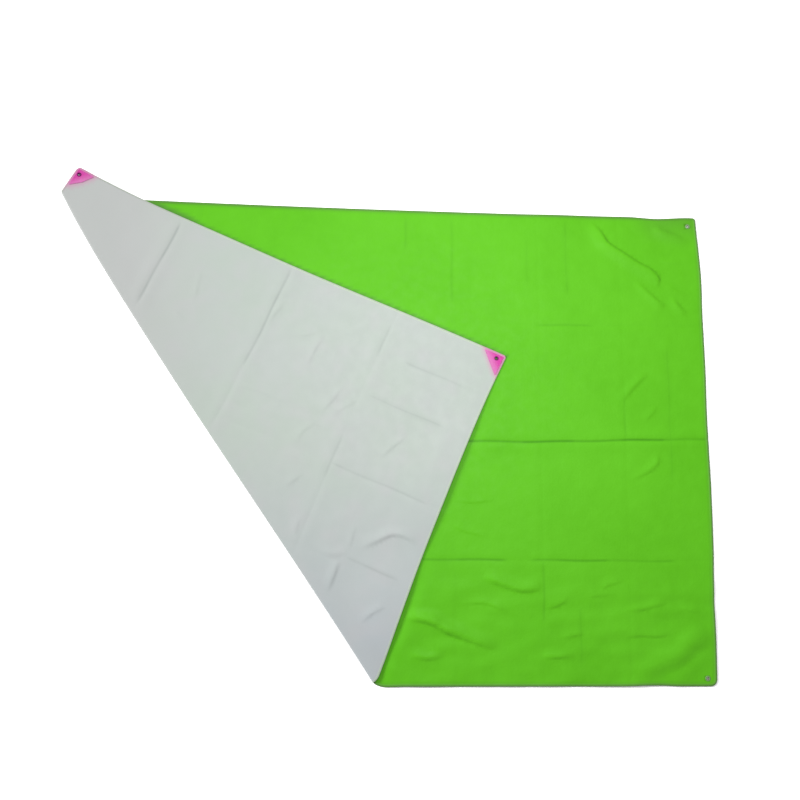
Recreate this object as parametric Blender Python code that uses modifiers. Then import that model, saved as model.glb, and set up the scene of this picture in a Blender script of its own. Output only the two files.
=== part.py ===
"""Emergency foil blanket, laid out on a floor with one end folded over diagonally.

One rectangular cut of foil laminate (green face up, silver face down) is turned over along a slanted
fold, so that a silver flap lies on the green lower layer. Each corner has a triangular patch on the
silver side and a rolled metal eyelet through sheet and patch.

Cut coordinates: u runs along the long side and v along the short side of the flat cut.
World coordinates: metres, +X to the right, +Y away from the reader, +Z up, the floor at Z = 0.
"""
import math
from collections import namedtuple

import bmesh
import bpy
from mathutils import Vector

# ------------------------------------------------------------------ driving dimensions
CUT_LENGTH = 2.000          # long side of the cut
CUT_WIDTH = 1.400           # short side of the cut
SHEET_THICK = 0.0015        # laminate
HEM_WIDE = 0.006            # narrow hem along all four sides
HEM_THICK = 0.0022          # laminate and hem together
HEM_STEP = 0.0010           # how wide the step from hem to plain laminate is
GAP = 0.0003                # play between two pieces that lie on each other

PACKED_LONG = CUT_LENGTH / 8    # packing panels along the cut
PACKED_WIDE = CUT_WIDTH / 4     # packing panels across the cut

FOLD_FOOT = 1.0225          # where the fold leaves the near long edge, along u
FOLD_HEAD = 0.0842          # where the fold meets the far long edge, along u
ROLL_FOOT = 0.0055          # outer radius of the fold's soft roll at its foot
ROLL_HEAD = 0.0025          # and at its head, where it is pressed flat
FOOT_DRAW = 0.015           # how far the corner at the fold's foot draws up along the fold
FOOT_LOWER = 0.030          # over this way of the lower layer
FOOT_FLAP = 0.036           # and over this way of the flap
SETTLE = 0.070              # over this way the flap comes down from the roll
LAYER_PLAY = 0.0020         # free space between the two layers
FLAP_TOP = 2 * SHEET_THICK + LAYER_PLAY
PRESSED = 0.80              # share of the lower layer's relief that the flap presses flat
COVER_EDGE = 0.030          # over this way the pressing ends outside the flap
RELIEF_FADE = 0.040         # over this way from the fold's roll the relief comes in
FOLD_SCORES = (-0.080, -0.045, -0.020, 0.045)   # lines beside the fold, towards the lower layer
FOOT_SCORES = (0.015, 0.035)                    # lines beside the fold's foot
CORNER_SCORES = (0.65, 1.0)                     # lines at a corner, as shares of its radius
SCORE_SHARES = (-1.0, -0.45, 0.0, 0.45, 1.0)    # lines along a free fold, as shares of its reach
SCORE_SLACK = 0.020         # scoring takes in faces whose middle lies this far outside the fold
MERGE = 0.0006              # points of the cut nearer than this become one

SEAT_MARGIN = 0.004         # the flat seat of a patch reaches this far past it
SEAT_FADE = 0.060           # and runs out over this way
SEAT_FROM_FOLD = 0.020      # and it stays this far from the fold
PATCH_THICK = 0.0010
PATCH_INSET = HEM_WIDE + GAP
PATCH_TRIM = 0.004          # how far the patch's two sharp ends are cut back
BORE_RADIUS = 0.0032
BARREL_RADIUS = 0.0037
FLANGE_RADIUS = 0.0078      # broad flange on the green side
FLANGE_MOUTH = 0.0041       # its upper face starts here, past the rounded mouth of the bore
FLANGE_EDGE = 0.0011        # and ends this far inside the rounded edge
FLANGE_THICK = 0.0009
RIM_RADIUS = 0.0065         # rolled rim on the patch side
RIM_EDGE = 0.0010           # width of its rounded edge
RIM_THICK = 0.0008
SOFTEN = 0.0003             # small roundings of flange and rim
HOLE_RADIUS = BARREL_RADIUS + GAP
EYELET_STEPS = 20
PUNCH_PAST = 0.0007         # how far a hole's punch reaches past the layer it cuts

FLANGE_SEAT = SHEET_THICK + GAP                 # heights above the silver face, along the eyelet
FLANGE_TOP = FLANGE_SEAT + FLANGE_THICK
RIM_SEAT = -(GAP + PATCH_THICK + GAP)
RIM_END = RIM_SEAT - RIM_THICK

FOOT = Vector((FOLD_FOOT, 0.0))
HEAD = Vector((FOLD_HEAD, CUT_WIDTH))
FOLD_LENGTH = (HEAD - FOOT).length
ALONG = (HEAD - FOOT).normalized()
ACROSS = Vector((ALONG.y, -ALONG.x))            # towards the lower layer

# ------------------------------------------------------------------ tables
# Corners of the cut: which way each opens, its radius, how far in from both edges its eyelet sits,
# the leg of its patch and the bow of the patch's slanted side, the height of the silver face there,
# and whether it lies on the flap.
Corner = namedtuple("Corner", "name u v toward_u toward_v radius inset_u inset_v leg belly level flap")
CORNERS = (
    Corner("flap_tip", 0.0, CUT_WIDTH, 1, -1, 0.012, 0.0200, 0.0158, 0.062, 0.0050, FLAP_TOP, True),
    Corner("flap_middle", 0.0, 0.0, 1, 1, 0.009, 0.0190, 0.0250, 0.074, 0.0010, FLAP_TOP, True),
    Corner("right_top", CUT_LENGTH, CUT_WIDTH, -1, -1, 0.009, 0.0265, 0.0280, 0.070, 0.0020,
           -RIM_END, False),
    Corner("right_bottom", CUT_LENGTH, 0.0, -1, 1, 0.020, 0.0280, 0.0215, 0.070, 0.0020,
           -RIM_END, False),
)

# How far each laid corner lies from its place in a true fold.
Stray = namedtuple("Stray", "foot head far_low far_high")
STRAY = {
    "lower": Stray(Vector((0.004, -0.002)), Vector((-0.002, 0.002)), Vector((0, 0)), Vector((0, 0.002))),
    "flap": Stray(Vector((0.004, -0.002)), Vector((-0.002, 0.002)),
                  Vector((-0.008, -0.001)), Vector((0.010, 0.006))),
}

# Edges that don't lie straight: outward is the greatest bow (negative where it draws in), peak is
# its place along the edge, from the near side to the far one or from the fold outwards.
Bow = namedtuple("Bow", "outward peak")
STRAIGHT = Bow(0.0, 0.5)
BOWS = {
    "fold": Bow(0.016, 0.72),
    ("lower", "far"): Bow(0.011, 0.55),
    ("lower", "low"): STRAIGHT,
    ("lower", "high"): Bow(-0.0145, 0.27),
    ("flap", "far"): Bow(-0.0145, 0.68),
    ("flap", "low"): Bow(-0.014, 0.55),
    ("flap", "high"): STRAIGHT,
}

# Places where free folds pull an edge of the lower layer to the right or away from the reader.
Pull = namedtuple("Pull", "name u v right away reach")
PULLS = (
    Pull("far edge, beside the corner", 1.880, 1.400, 0.0, -0.0042, 0.090),
    Pull("right edge, far half", 2.000, 1.220, 0.0042, 0.0, 0.150),
    Pull("right edge, middle", 2.000, 0.750, -0.0028, 0.0, 0.190),
    Pull("near edge, by the round fold", 1.810, 0.000, 0.0, 0.0024, 0.090),
)

# Packing creases: a sharp line between two soft shoulders of this height.
Crease = namedtuple("Crease", "axis place height")
CREASES = (
    Crease("v", 1 * PACKED_WIDE, 0.0012),
    Crease("v", 2 * PACKED_WIDE, 0.0020),
    Crease("v", 3 * PACKED_WIDE, 0.0014),
    Crease("u", 1 * PACKED_LONG, 0.0006),
    Crease("u", 2 * PACKED_LONG, 0.0008),
    Crease("u", 3 * PACKED_LONG, 0.0006),
    Crease("u", 5 * PACKED_LONG, 0.0005),
    Crease("u", 6 * PACKED_LONG, 0.0006),
    Crease("u", 7 * PACKED_LONG, 0.0007),
)
SHOULDER = 0.012            # from a crease's line to the top of its shoulder
SHOULDER_END = 0.045        # and to where the panel is plain again

# Free folds: each a soft ridge through three points of the cut.
Ridge = namedtuple("Ridge", "name start middle end height reach")
RIDGES = (
    Ridge("long fold below the far edge", (1.683, 1.349), (1.800, 1.240), (1.869, 1.185), 0.0065, 0.040),
    Ridge("its short neighbour", (1.812, 1.184), (1.870, 1.140), (1.939, 1.078), 0.0042, 0.030),
    Ridge("fold into the far right corner", (1.850, 1.385), (1.910, 1.355), (1.990, 1.320), 0.0035, 0.032),
    Ridge("bent fold above the middle crease", (1.838, 0.886), (1.750, 0.810), (1.732, 0.725), 0.0032, 0.030),
    Ridge("bent fold below the middle crease", (1.866, 0.660), (1.855, 0.600), (1.736, 0.569), 0.0030, 0.030),
    Ridge("wavy fold in the near panels", (1.320, 0.285), (1.450, 0.250), (1.668, 0.289), 0.0042, 0.032),
    Ridge("long fold out of the flap", (1.115, 0.179), (1.235, 0.135), (1.356, 0.095), 0.0062, 0.034),
    Ridge("ripple above the near edge", (1.548, 0.126), (1.720, 0.128), (1.900, 0.150), 0.0028, 0.030),
    Ridge("broad fold round the near right corner", (1.995, 0.170), (1.885, 0.085), (1.738, 0.015),
          0.0072, 0.052),
    Ridge("arched fold on the flap", (0.690, 0.167), (0.628, 0.100), (0.612, 0.014), 0.0045, 0.028),
    Ridge("slanted fold on the flap", (0.300, 0.370), (0.370, 0.400), (0.440, 0.440), 0.0035, 0.030),
    Ridge("short fold on the flap", (0.185, 0.505), (0.230, 0.513), (0.280, 0.520), 0.0032, 0.028),
)

# Places where an edge stands a little off what lies under it.
Lift = namedtuple("Lift", "name u v height reach")
LIFTS = (
    Lift("flap edge by the foot of the fold", 0.820, 0.000, 0.0065, 0.200),
    Lift("flap edge half way", 0.450, 0.000, 0.0060, 0.240),
    Lift("long flap edge", 0.000, 0.900, 0.0060, 0.300),
    Lift("near edge", 1.780, 0.000, 0.0022, 0.090),
    Lift("far edge", 1.560, 1.400, 0.0025, 0.120),
)


# ------------------------------------------------------------------ the laid form
def smooth(x):
    x = min(max(x, 0.0), 1.0)
    return x * x * (3.0 - 2.0 * x)


def bow(edge, t):
    """Outward offset of an edge at t, 0 to 1 along it, broad at its peak and nothing at its ends."""
    turned = t ** (math.log(0.5) / math.log(edge.peak))
    return edge.outward * (1.0 - abs(2.0 * turned - 1.0) ** 2.6)


def mirrored(direction):
    """A direction of the cut after it is turned over with the flap."""
    return direction - 2.0 * direction.dot(ACROSS) * ACROSS


def stray(u, v, across):
    """Sideways offset of a point from the true fold: uneven laying and bowed edges."""
    layer = "lower" if across >= 0.0 else "flap"
    s = min(max(v / CUT_WIDTH, 0.0), 1.0)
    fold_u = FOLD_FOOT + (FOLD_HEAD - FOLD_FOOT) * s
    reach = CUT_LENGTH - fold_u if layer == "lower" else fold_u
    t = min(abs(u - fold_u) / reach, 1.0)
    far = Vector((1.0, 0.0)) if layer == "lower" else mirrored(Vector((-1.0, 0.0)))
    low = Vector((0.0, -1.0)) if layer == "lower" else mirrored(Vector((0.0, -1.0)))
    corner = STRAY[layer]
    offset = corner.foot.lerp(corner.head, s).lerp(corner.far_low.lerp(corner.far_high, s), t)
    offset -= ACROSS * bow(BOWS["fold"], s) * (1.0 - t) ** 2
    offset += far * bow(BOWS[layer, "far"], s) * t ** 2
    offset += low * bow(BOWS[layer, "low"], t) * (1.0 - s) ** 2
    offset -= low * bow(BOWS[layer, "high"], t) * s ** 2
    side = smooth(0.5 + across / (4.0 * ROLL_FOOT))
    reach = FOOT_FLAP + (FOOT_LOWER - FOOT_FLAP) * side
    near = max(0.0, 1.0 - math.hypot(u - FOLD_FOOT, v) / reach)
    return offset + ALONG * FOOT_DRAW * near ** 2


def pulled(u, v):
    """Sideways offset of a point of the lower layer where free folds run into its edges."""
    offset = Vector((0.0, 0.0))
    for pull in PULLS:
        off = math.hypot(u - pull.u, v - pull.v) / pull.reach
        if off < 1.0:
            offset += Vector((pull.right, pull.away)) * (1.0 - off * off) ** 2
    return offset


def roll_radius(along):
    return ROLL_FOOT + (ROLL_HEAD - ROLL_FOOT) * min(max(along / FOLD_LENGTH, 0.0), 1.0)


def section(across, radius):
    """The back-and-forth section: distance from the fold's outer side, and height of the silver face."""
    quarter = radius * math.pi / 2
    if abs(across) <= quarter:
        turn = across / radius
        return radius * (1.0 - math.cos(turn)), radius * (1.0 - math.sin(turn))
    settled = smooth((abs(across) - quarter) / SETTLE)
    out = abs(across) - (quarter - radius) * (1.0 - settled)
    return out, 0.0 if across > 0 else 2 * radius + (FLAP_TOP - 2 * radius) * settled


def covered(u, v):
    """How much of the flap's weight lies on a point of the lower layer, 0 to 1."""
    q = Vector((u, v))
    q -= 2.0 * (q - FOOT).dot(ACROSS) * ACROSS
    inside = min(q.x, q.y, CUT_WIDTH - q.y)
    return smooth(inside / COVER_EDGE + 1.0)


def ridge_path(ridge, pieces=8):
    """Points along the curve that passes through a ridge's start, middle and end."""
    start, middle, end = (Vector(p) for p in (ridge.start, ridge.middle, ridge.end))
    pull = 2.0 * middle - 0.5 * (start + end)
    for i in range(pieces + 1):
        t = i / pieces
        yield t, start * (1 - t) ** 2 + pull * 2 * t * (1 - t) + end * t ** 2


def ridge_height(path, ridge, q):
    """Height of one ridge at a point: soft across, and running out at both ends."""
    best = 0.0
    for (t0, a), (t1, b) in zip(path, path[1:]):
        way = b - a
        share = min(max((q - a).dot(way) / way.length_squared, 0.0), 1.0)
        off = (q - (a + way * share)).length / ridge.reach
        if off < 1.0:
            t = t0 + (t1 - t0) * share
            best = max(best, (1.0 - off * off) ** 2 * (1.0 - abs(2.0 * t - 1.0) ** 3))
    return ridge.height * best


RIDGE_PATHS = {ridge: list(ridge_path(ridge)) for ridge in RIDGES}


def relief(u, v):
    """Height of creases, free folds and lifted edges over the plain layer."""
    height = 0.0
    for crease in CREASES:
        off, along = (u - crease.place, v) if crease.axis == "u" else (v - crease.place, u)
        uneven = 0.70 + 0.30 * math.sin(9.0 * along + 40.0 * crease.place)
        rise = min(abs(off) / SHOULDER, 1.0) * (1.0 - smooth((abs(off) - SHOULDER) / (SHOULDER_END - SHOULDER)))
        height += crease.height * uneven * rise
    q = Vector((u, v))
    for ridge, path in RIDGE_PATHS.items():
        height += ridge_height(path, ridge, q)
    for lift in LIFTS:
        off = math.hypot(u - lift.u, v - lift.v) / lift.reach
        if off < 1.0:
            height += lift.height * (1.0 - off * off) ** 2
    return height


def seat_share(corner, u, v):
    """1 where the corner's patch lies, which is flat, and 0 past the way over which that runs out."""
    away = (u - corner.u) * corner.toward_u + (v - corner.v) * corner.toward_v
    return 1.0 - smooth((away - corner.leg - 2.0 * corner.belly - SEAT_MARGIN) / SEAT_FADE)


def lay(u, v):
    """World place of a point of the silver face, before the part is centred."""
    q = Vector((u, v)) - FOOT
    along, across = q.dot(ALONG), q.dot(ACROSS)
    radius = roll_radius(along)
    out, height = section(across, radius)
    place = FOOT + ALONG * along + ACROSS * out + stray(u, v, across)
    free = smooth((abs(across) - radius * math.pi / 2) / RELIEF_FADE)
    if across > 0.0:
        place += pulled(u, v)
        free *= 1.0 - PRESSED * covered(u, v)
    height += relief(u, v) * free
    for corner in CORNERS:
        if corner.flap == (across < 0.0) and abs(across) > SEAT_FROM_FOLD:
            height += (corner.level - height) * seat_share(corner, u, v)
    return Vector((place.x, place.y, height))


# ------------------------------------------------------------------ scene set-up
def clear_scene():
    for thing in list(bpy.data.objects):
        bpy.data.objects.remove(thing, do_unlink=True)


def collection(name):
    group = bpy.data.collections.new(name)
    bpy.context.scene.collection.children.link(group)
    return group


def material(name, colour, roughness, metallic):
    made = bpy.data.materials.new(name)
    made.use_nodes = True
    shader = made.node_tree.nodes["Principled BSDF"]
    shader.inputs["Base Color"].default_value = (*colour, 1.0)
    shader.inputs["Roughness"].default_value = roughness
    shader.inputs["Metallic"].default_value = metallic
    made.diffuse_color = (*colour, 1.0)
    return made


# ------------------------------------------------------------------ the sheet
def sheet_lines(axis, length, panel, halves):
    """Grid lines along one side: hem, packing panels, and the shoulders of each crease."""
    lines = {0.0, HEM_WIDE, HEM_WIDE + HEM_STEP}
    lines |= {length - line for line in lines}
    for k in range(round(length / panel)):
        lines |= {(k + part / halves) * panel for part in range(halves)}
    for crease in CREASES:
        if crease.axis == axis:
            lines |= {crease.place + side * way for side in (-1, 1) for way in (SHOULDER, SHOULDER_END)}
    return sorted(lines)


def flat_cut():
    """The cut on the table: a grid whose lines lie on creases, hem and fold."""
    u_lines = sheet_lines("u", CUT_LENGTH, PACKED_LONG, 2)
    v_lines = sheet_lines("v", CUT_WIDTH, PACKED_WIDE, 4)
    cut = bmesh.new()
    bmesh.ops.create_grid(cut, x_segments=len(u_lines) - 1, y_segments=len(v_lines) - 1, size=0.5)
    for vert in cut.verts:
        column = round((vert.co.x + 0.5) * (len(u_lines) - 1))
        row = round((vert.co.y + 0.5) * (len(v_lines) - 1))
        vert.co = (u_lines[column], v_lines[row], 0.0)
    score_ridges(cut)
    score_fold(cut)
    score_seats(cut)
    score_corners(cut)
    bmesh.ops.remove_doubles(cut, verts=cut.verts, dist=MERGE)
    bmesh.ops.triangulate(cut, faces=cut.faces)
    hem = cut.verts.layers.deform.verify()
    for vert in cut.verts:
        u, v = vert.co.xy
        vert[hem][0] = 1.0 if min(u, v, CUT_LENGTH - u, CUT_WIDTH - v) < HEM_WIDE + GAP else 0.0
    round_corners(cut)
    return cut


def score(cut, point, other, faces=None):
    """Cut the grid along the straight line through two points, everywhere or in some faces alone."""
    way = other - point
    geom = set(cut.faces[:] if faces is None else faces)
    for face in list(geom):
        geom.update(face.edges)
        geom.update(face.verts)
    bmesh.ops.bisect_plane(cut, geom=list(geom), dist=0.00002, plane_co=(point.x, point.y, 0.0),
                           plane_no=(way.y, -way.x, 0.0))


def near_run(face, a, b, reach):
    """Whether a face's middle lies beside the run from a to b."""
    from_a = face.calc_center_median().xy - a
    way = (b - a).normalized()
    beside = -SCORE_SLACK < from_a.dot(way) < (b - a).length + SCORE_SLACK
    return beside and abs(from_a.cross(way)) < reach + SCORE_SLACK


def score_ridges(cut):
    """Lines along the crest and the flanks of each free fold, start to middle and middle to end."""
    for ridge in RIDGES:
        start, middle, end = (Vector(p) for p in (ridge.start, ridge.middle, ridge.end))
        for a, b in ((start, middle), (middle, end)):
            way = (b - a).normalized()
            side = Vector((way.y, -way.x)) * ridge.reach
            for share in SCORE_SHARES:
                faces = [face for face in cut.faces if near_run(face, a, b, ridge.reach)]
                score(cut, a + side * share, b + side * share, faces)


def score_fold(cut):
    """Lines along the fold: around its roll, and where the two layers settle."""
    for turn in (-90, -54, -18, 18, 54, 90):
        angle = math.radians(turn)
        score(cut, FOOT + ACROSS * ROLL_FOOT * angle, HEAD + ACROSS * ROLL_HEAD * angle)
    for way in FOLD_SCORES:
        score(cut, FOOT + ACROSS * way, HEAD + ACROSS * way)


def score_seats(cut):
    """Lines around each flat patch seat, where the sheet starts to leave it."""
    for corner in CORNERS:
        leg = corner.leg + 2.0 * corner.belly + SEAT_MARGIN
        on_long = Vector((corner.u + corner.toward_u * leg, corner.v))
        on_short = Vector((corner.u, corner.v + corner.toward_v * leg))
        near = [face for face in cut.faces if seat_share(corner, *face.calc_center_median().xy) > 0.3]
        score(cut, on_long, on_short, near)


def cross_lines(cut, place, reach):
    """Score one line along u and one along v through a place, in the faces around it."""
    for way in (Vector((1.0, 0.0)), Vector((0.0, 1.0))):
        near = [face for face in cut.faces if (face.calc_center_median().xy - place).length < reach]
        score(cut, place, place + way, near)


def score_corners(cut):
    """Lines for the arcs of the cut's corners and for the drawn-up foot of the fold."""
    for corner in CORNERS:
        for share in CORNER_SCORES:
            way = corner.radius * share
            place = Vector((corner.u + corner.toward_u * way, corner.v + corner.toward_v * way))
            cross_lines(cut, place, SEAT_FADE)
    for way in FOOT_SCORES:
        for side in (-1, 1):
            cross_lines(cut, FOOT + Vector((side * way, way)), SEAT_FADE)


def round_corners(cut):
    """Bend the square at each corner of the cut into a quarter disc, hem and all."""
    for vert in cut.verts:
        for corner in CORNERS:
            a = corner.radius - abs(vert.co.x - corner.u)
            b = corner.radius - abs(vert.co.y - corner.v)
            if a > 0.0 and b > 0.0:
                share = max(a, b) / math.hypot(a, b)
                vert.co.x = corner.u + corner.toward_u * (corner.radius - a * share)
                vert.co.y = corner.v + corner.toward_v * (corner.radius - b * share)


def make_sheet(group, silver, green):
    """Lay the cut, thicken it from its silver face to its green one, and punch the four holes."""
    cut = flat_cut()
    for vert in cut.verts:
        vert.co = lay(*vert.co.xy)
    xs = [vert.co.x for vert in cut.verts]
    ys = [vert.co.y for vert in cut.verts]
    centre = Vector(((min(xs) + max(xs)) / 2, (min(ys) + max(ys)) / 2, 0.0))
    bmesh.ops.translate(cut, verts=cut.verts, vec=-centre)
    mesh = bpy.data.meshes.new("blanket_sheet")
    cut.to_mesh(mesh)
    cut.free()
    mesh.materials.append(green)
    mesh.materials.append(silver)
    sheet = bpy.data.objects.new("blanket_sheet", mesh)
    sheet.vertex_groups.new(name="hem")
    group.objects.link(sheet)
    shell = sheet.modifiers.new("laminate", "SOLIDIFY")
    shell.thickness = HEM_THICK
    shell.offset = 1.0
    shell.use_even_offset = True
    shell.vertex_group = "hem"
    shell.thickness_vertex_group = SHEET_THICK / HEM_THICK
    shell.material_offset = 1
    return sheet, centre


def eyelet_place(corner, centre):
    """World place of the eyelet's axis on the silver face."""
    u = corner.u + corner.toward_u * corner.inset_u
    v = corner.v + corner.toward_v * corner.inset_v
    return lay(u, v) - centre


def punch(sheet, corner, centre, cutters):
    """A round hole through one layer of the sheet at one eyelet."""
    tool = bmesh.new()
    bmesh.ops.create_cone(tool, cap_ends=True, segments=EYELET_STEPS, radius1=HOLE_RADIUS,
                          radius2=HOLE_RADIUS, depth=SHEET_THICK + 2 * PUNCH_PAST)
    mesh = bpy.data.meshes.new("punch_" + corner.name)
    tool.to_mesh(mesh)
    tool.free()
    cutter = bpy.data.objects.new("punch_" + corner.name, mesh)
    half = SHEET_THICK / 2
    cutter.location = eyelet_place(corner, centre) + Vector((0.0, 0.0, -half if corner.flap else half))
    cutter.hide_render = True
    cutter.display_type = "WIRE"
    cutters.objects.link(cutter)
    hole = sheet.modifiers.new("hole_" + corner.name, "BOOLEAN")
    hole.operation = "DIFFERENCE"
    hole.object = cutter


# ------------------------------------------------------------------ patches and eyelets
def patch_outline(corner):
    """The patch on the cut: a right triangle inside the hem, its sharp ends trimmed."""
    near, far = PATCH_INSET, corner.leg - PATCH_INSET
    half = (near + far) / 2 + corner.belly
    blunt = near + PATCH_TRIM / 2
    points = ((near, near), (far - PATCH_TRIM, near), (far, blunt),
              (half, half), (blunt, far), (near, far - PATCH_TRIM))
    for away_u, away_v in points:
        yield corner.u + corner.toward_u * away_u, corner.v + corner.toward_v * away_v


def ring(radius, steps):
    for i in range(steps):
        turn = 2 * math.pi * i / steps
        yield radius * math.cos(turn), radius * math.sin(turn)


def make_patch(group, corner, centre, pink):
    """A flat triangle on the silver side, with a hole for its eyelet."""
    axis = eyelet_place(corner, centre)
    outline = [(lay(u, v) - centre - axis).xy for u, v in patch_outline(corner)]
    curve = bpy.data.curves.new("patch_" + corner.name, "CURVE")
    curve.dimensions = "2D"
    curve.fill_mode = "BOTH"
    curve.extrude = PATCH_THICK / 2
    for loop in (outline, list(ring(HOLE_RADIUS, EYELET_STEPS))):
        spline = curve.splines.new("POLY")
        spline.points.add(len(loop) - 1)
        for point, (x, y) in zip(spline.points, loop):
            point.co = (x, y, 0.0, 1.0)
        spline.use_cyclic_u = True
    curve.materials.append(pink)
    patch = bpy.data.objects.new("patch_" + corner.name, curve)
    middle = GAP + PATCH_THICK / 2
    patch.location = axis + Vector((0.0, 0.0, middle if corner.flap else -middle))
    group.objects.link(patch)
    return patch


def eyelet_profile():
    """Half section of the eyelet above its silver-side seat, radius and height, outside then bore."""
    yield FLANGE_MOUTH, FLANGE_TOP
    yield FLANGE_RADIUS - FLANGE_EDGE, FLANGE_TOP
    yield FLANGE_RADIUS - SOFTEN, FLANGE_TOP - SOFTEN
    yield FLANGE_RADIUS, FLANGE_SEAT
    yield BARREL_RADIUS, FLANGE_SEAT
    yield BARREL_RADIUS, RIM_SEAT
    yield RIM_RADIUS, RIM_SEAT
    yield RIM_RADIUS - SOFTEN, RIM_END + SOFTEN
    yield RIM_RADIUS - RIM_EDGE, RIM_END
    yield BARREL_RADIUS, RIM_END
    yield BORE_RADIUS, RIM_END + 2 * SOFTEN
    yield BORE_RADIUS, FLANGE_TOP - 2 * SOFTEN


def eyelet_mesh(metal):
    """The turned eyelet, shared by all four."""
    profile = bmesh.new()
    ring_of = [profile.verts.new((radius, 0.0, height)) for radius, height in eyelet_profile()]
    for a, b in zip(ring_of, ring_of[1:] + ring_of[:1]):
        profile.edges.new((a, b))
    mesh = bpy.data.meshes.new("eyelet")
    profile.to_mesh(mesh)
    profile.free()
    mesh.materials.append(metal)
    return mesh


def make_eyelet(group, corner, centre, mesh):
    """One eyelet: flange on the green side, rolled rim on the patch side."""
    eyelet = bpy.data.objects.new("eyelet_" + corner.name, mesh)
    eyelet.location = eyelet_place(corner, centre)
    eyelet.rotation_euler = (math.pi if corner.flap else 0.0, 0.0, 0.0)
    group.objects.link(eyelet)
    turned = eyelet.modifiers.new("turned", "SCREW")
    turned.angle = 2 * math.pi
    turned.steps = EYELET_STEPS
    turned.render_steps = EYELET_STEPS
    turned.use_merge_vertices = True
    turned.merge_threshold = 0.0001
    turned.use_smooth_shade = True
    return eyelet


# ------------------------------------------------------------------ the whole blanket
def main():
    clear_scene()
    blanket = collection("emergency_foil_blanket")
    cutters = collection("cutters")
    silver = material("silver_face", (0.62, 0.66, 0.64), 0.45, 0.6)
    green = material("green_face", (0.15, 0.68, 0.03), 0.50, 0.0)
    pink = material("corner_patch", (0.75, 0.16, 0.50), 0.55, 0.0)
    metal = material("eyelet_metal", (0.78, 0.79, 0.78), 0.35, 1.0)
    sheet, centre = make_sheet(blanket, silver, green)
    turned = eyelet_mesh(metal)
    for corner in CORNERS:
        punch(sheet, corner, centre, cutters)
        make_patch(blanket, corner, centre, pink)
        make_eyelet(blanket, corner, centre, turned)


main()
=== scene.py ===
# %% [markdown]
# # An emergency foil blanket with one end folded over
#
# The real blanket is one rectangular cut of foil laminate: a thin woven scrim between a green coated film
# and a matt silver one. It has a narrow hem all round, and each corner has a pink cloth patch and a rolled
# metal eyelet. It has been unpacked and laid on a floor, and its left end is turned over along a slanted
# fold, so that a silver flap lies on the green face.
#
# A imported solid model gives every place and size. This lesson dresses it: a fine sheet with its creases
# and wrinkles, films with a woven grain, patches, stitches, turned eyelets, and plain studio light.
# The solid model is loaded first and stays a fixed frame.

# %% Load the solid model
import math
from collections import namedtuple

import bmesh
import bpy
import numpy as np
from mathutils import Matrix, Vector, kdtree, noise


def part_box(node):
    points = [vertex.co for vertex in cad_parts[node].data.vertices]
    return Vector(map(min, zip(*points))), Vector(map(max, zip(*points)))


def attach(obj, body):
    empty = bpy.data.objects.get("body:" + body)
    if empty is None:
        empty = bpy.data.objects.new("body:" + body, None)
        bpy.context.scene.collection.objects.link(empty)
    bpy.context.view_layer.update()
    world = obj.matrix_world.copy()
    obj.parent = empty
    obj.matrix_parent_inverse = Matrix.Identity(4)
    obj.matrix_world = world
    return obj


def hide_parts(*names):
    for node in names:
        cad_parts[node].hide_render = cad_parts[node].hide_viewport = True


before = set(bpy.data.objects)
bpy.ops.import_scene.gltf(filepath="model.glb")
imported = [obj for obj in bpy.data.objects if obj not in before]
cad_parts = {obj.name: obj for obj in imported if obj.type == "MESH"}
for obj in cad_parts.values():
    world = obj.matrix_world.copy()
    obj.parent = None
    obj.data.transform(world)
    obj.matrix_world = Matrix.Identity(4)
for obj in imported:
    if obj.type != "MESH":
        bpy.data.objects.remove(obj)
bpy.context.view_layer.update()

print("solid nodes:", len(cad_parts))

# %% [markdown]
# ## The cut and its coordinates
#
# Cloth is easiest to think of flat. Every point of the cut has two coordinates: u runs along the long
# side and v along the short one, both in metres. All creases, wrinkles, seams and holes are given there,
# and one function lays any point of the cut in the world. The other way, drawing wrinkles on the folded
# shape, would need the flap's slanted directions for each of them.

# %% Sizes of the cut, the fold and the layers
CUT_LENGTH, CUT_WIDTH = 2.000, 1.400
LAMINATE = 0.0015           # thickness of the sheet
HEM_WIDE, HEM_THICK, HEM_STEP = 0.006, 0.0022, 0.0010       # the step is where the hem thins out
PACKED_LONG, PACKED_WIDE = CUT_LENGTH / 8, CUT_WIDTH / 4

FOLD_FOOT, FOLD_HEAD = 1.0225, 0.0842       # where the fold crosses the near and the far long edge
ROLL_FOOT, ROLL_HEAD = 0.0055, 0.0025       # outer radius of its soft roll at both ends
FOOT_DRAW, FOOT_LOWER, FOOT_FLAP = 0.015, 0.030, 0.036      # draw of the foot, and its reach in each layer
SETTLE = 0.070              # over this way the flap comes down from the roll
FLAP_TOP = 2 * LAMINATE + 0.0020        # height of the settled flap's silver face
PRESSED, COVER_EDGE = 0.80, 0.030       # how much the flap flattens what it covers, and where that begins
RELIEF_FADE = 0.040         # over this way from the roll the creases and wrinkles reach their full height

FOOT, HEAD = np.array([FOLD_FOOT, 0.0]), np.array([FOLD_HEAD, CUT_WIDTH])
FOLD_LENGTH = np.linalg.norm(HEAD - FOOT)
ALONG = (HEAD - FOOT) / FOLD_LENGTH
ACROSS = np.array([ALONG[1], -ALONG[0]])    # towards the lower layer
fold_turn = math.degrees(math.atan2(ALONG[1], ALONG[0]))
print(f"fold {FOLD_LENGTH:.3f} m long, {fold_turn:.1f} degrees from the long side")

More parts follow.
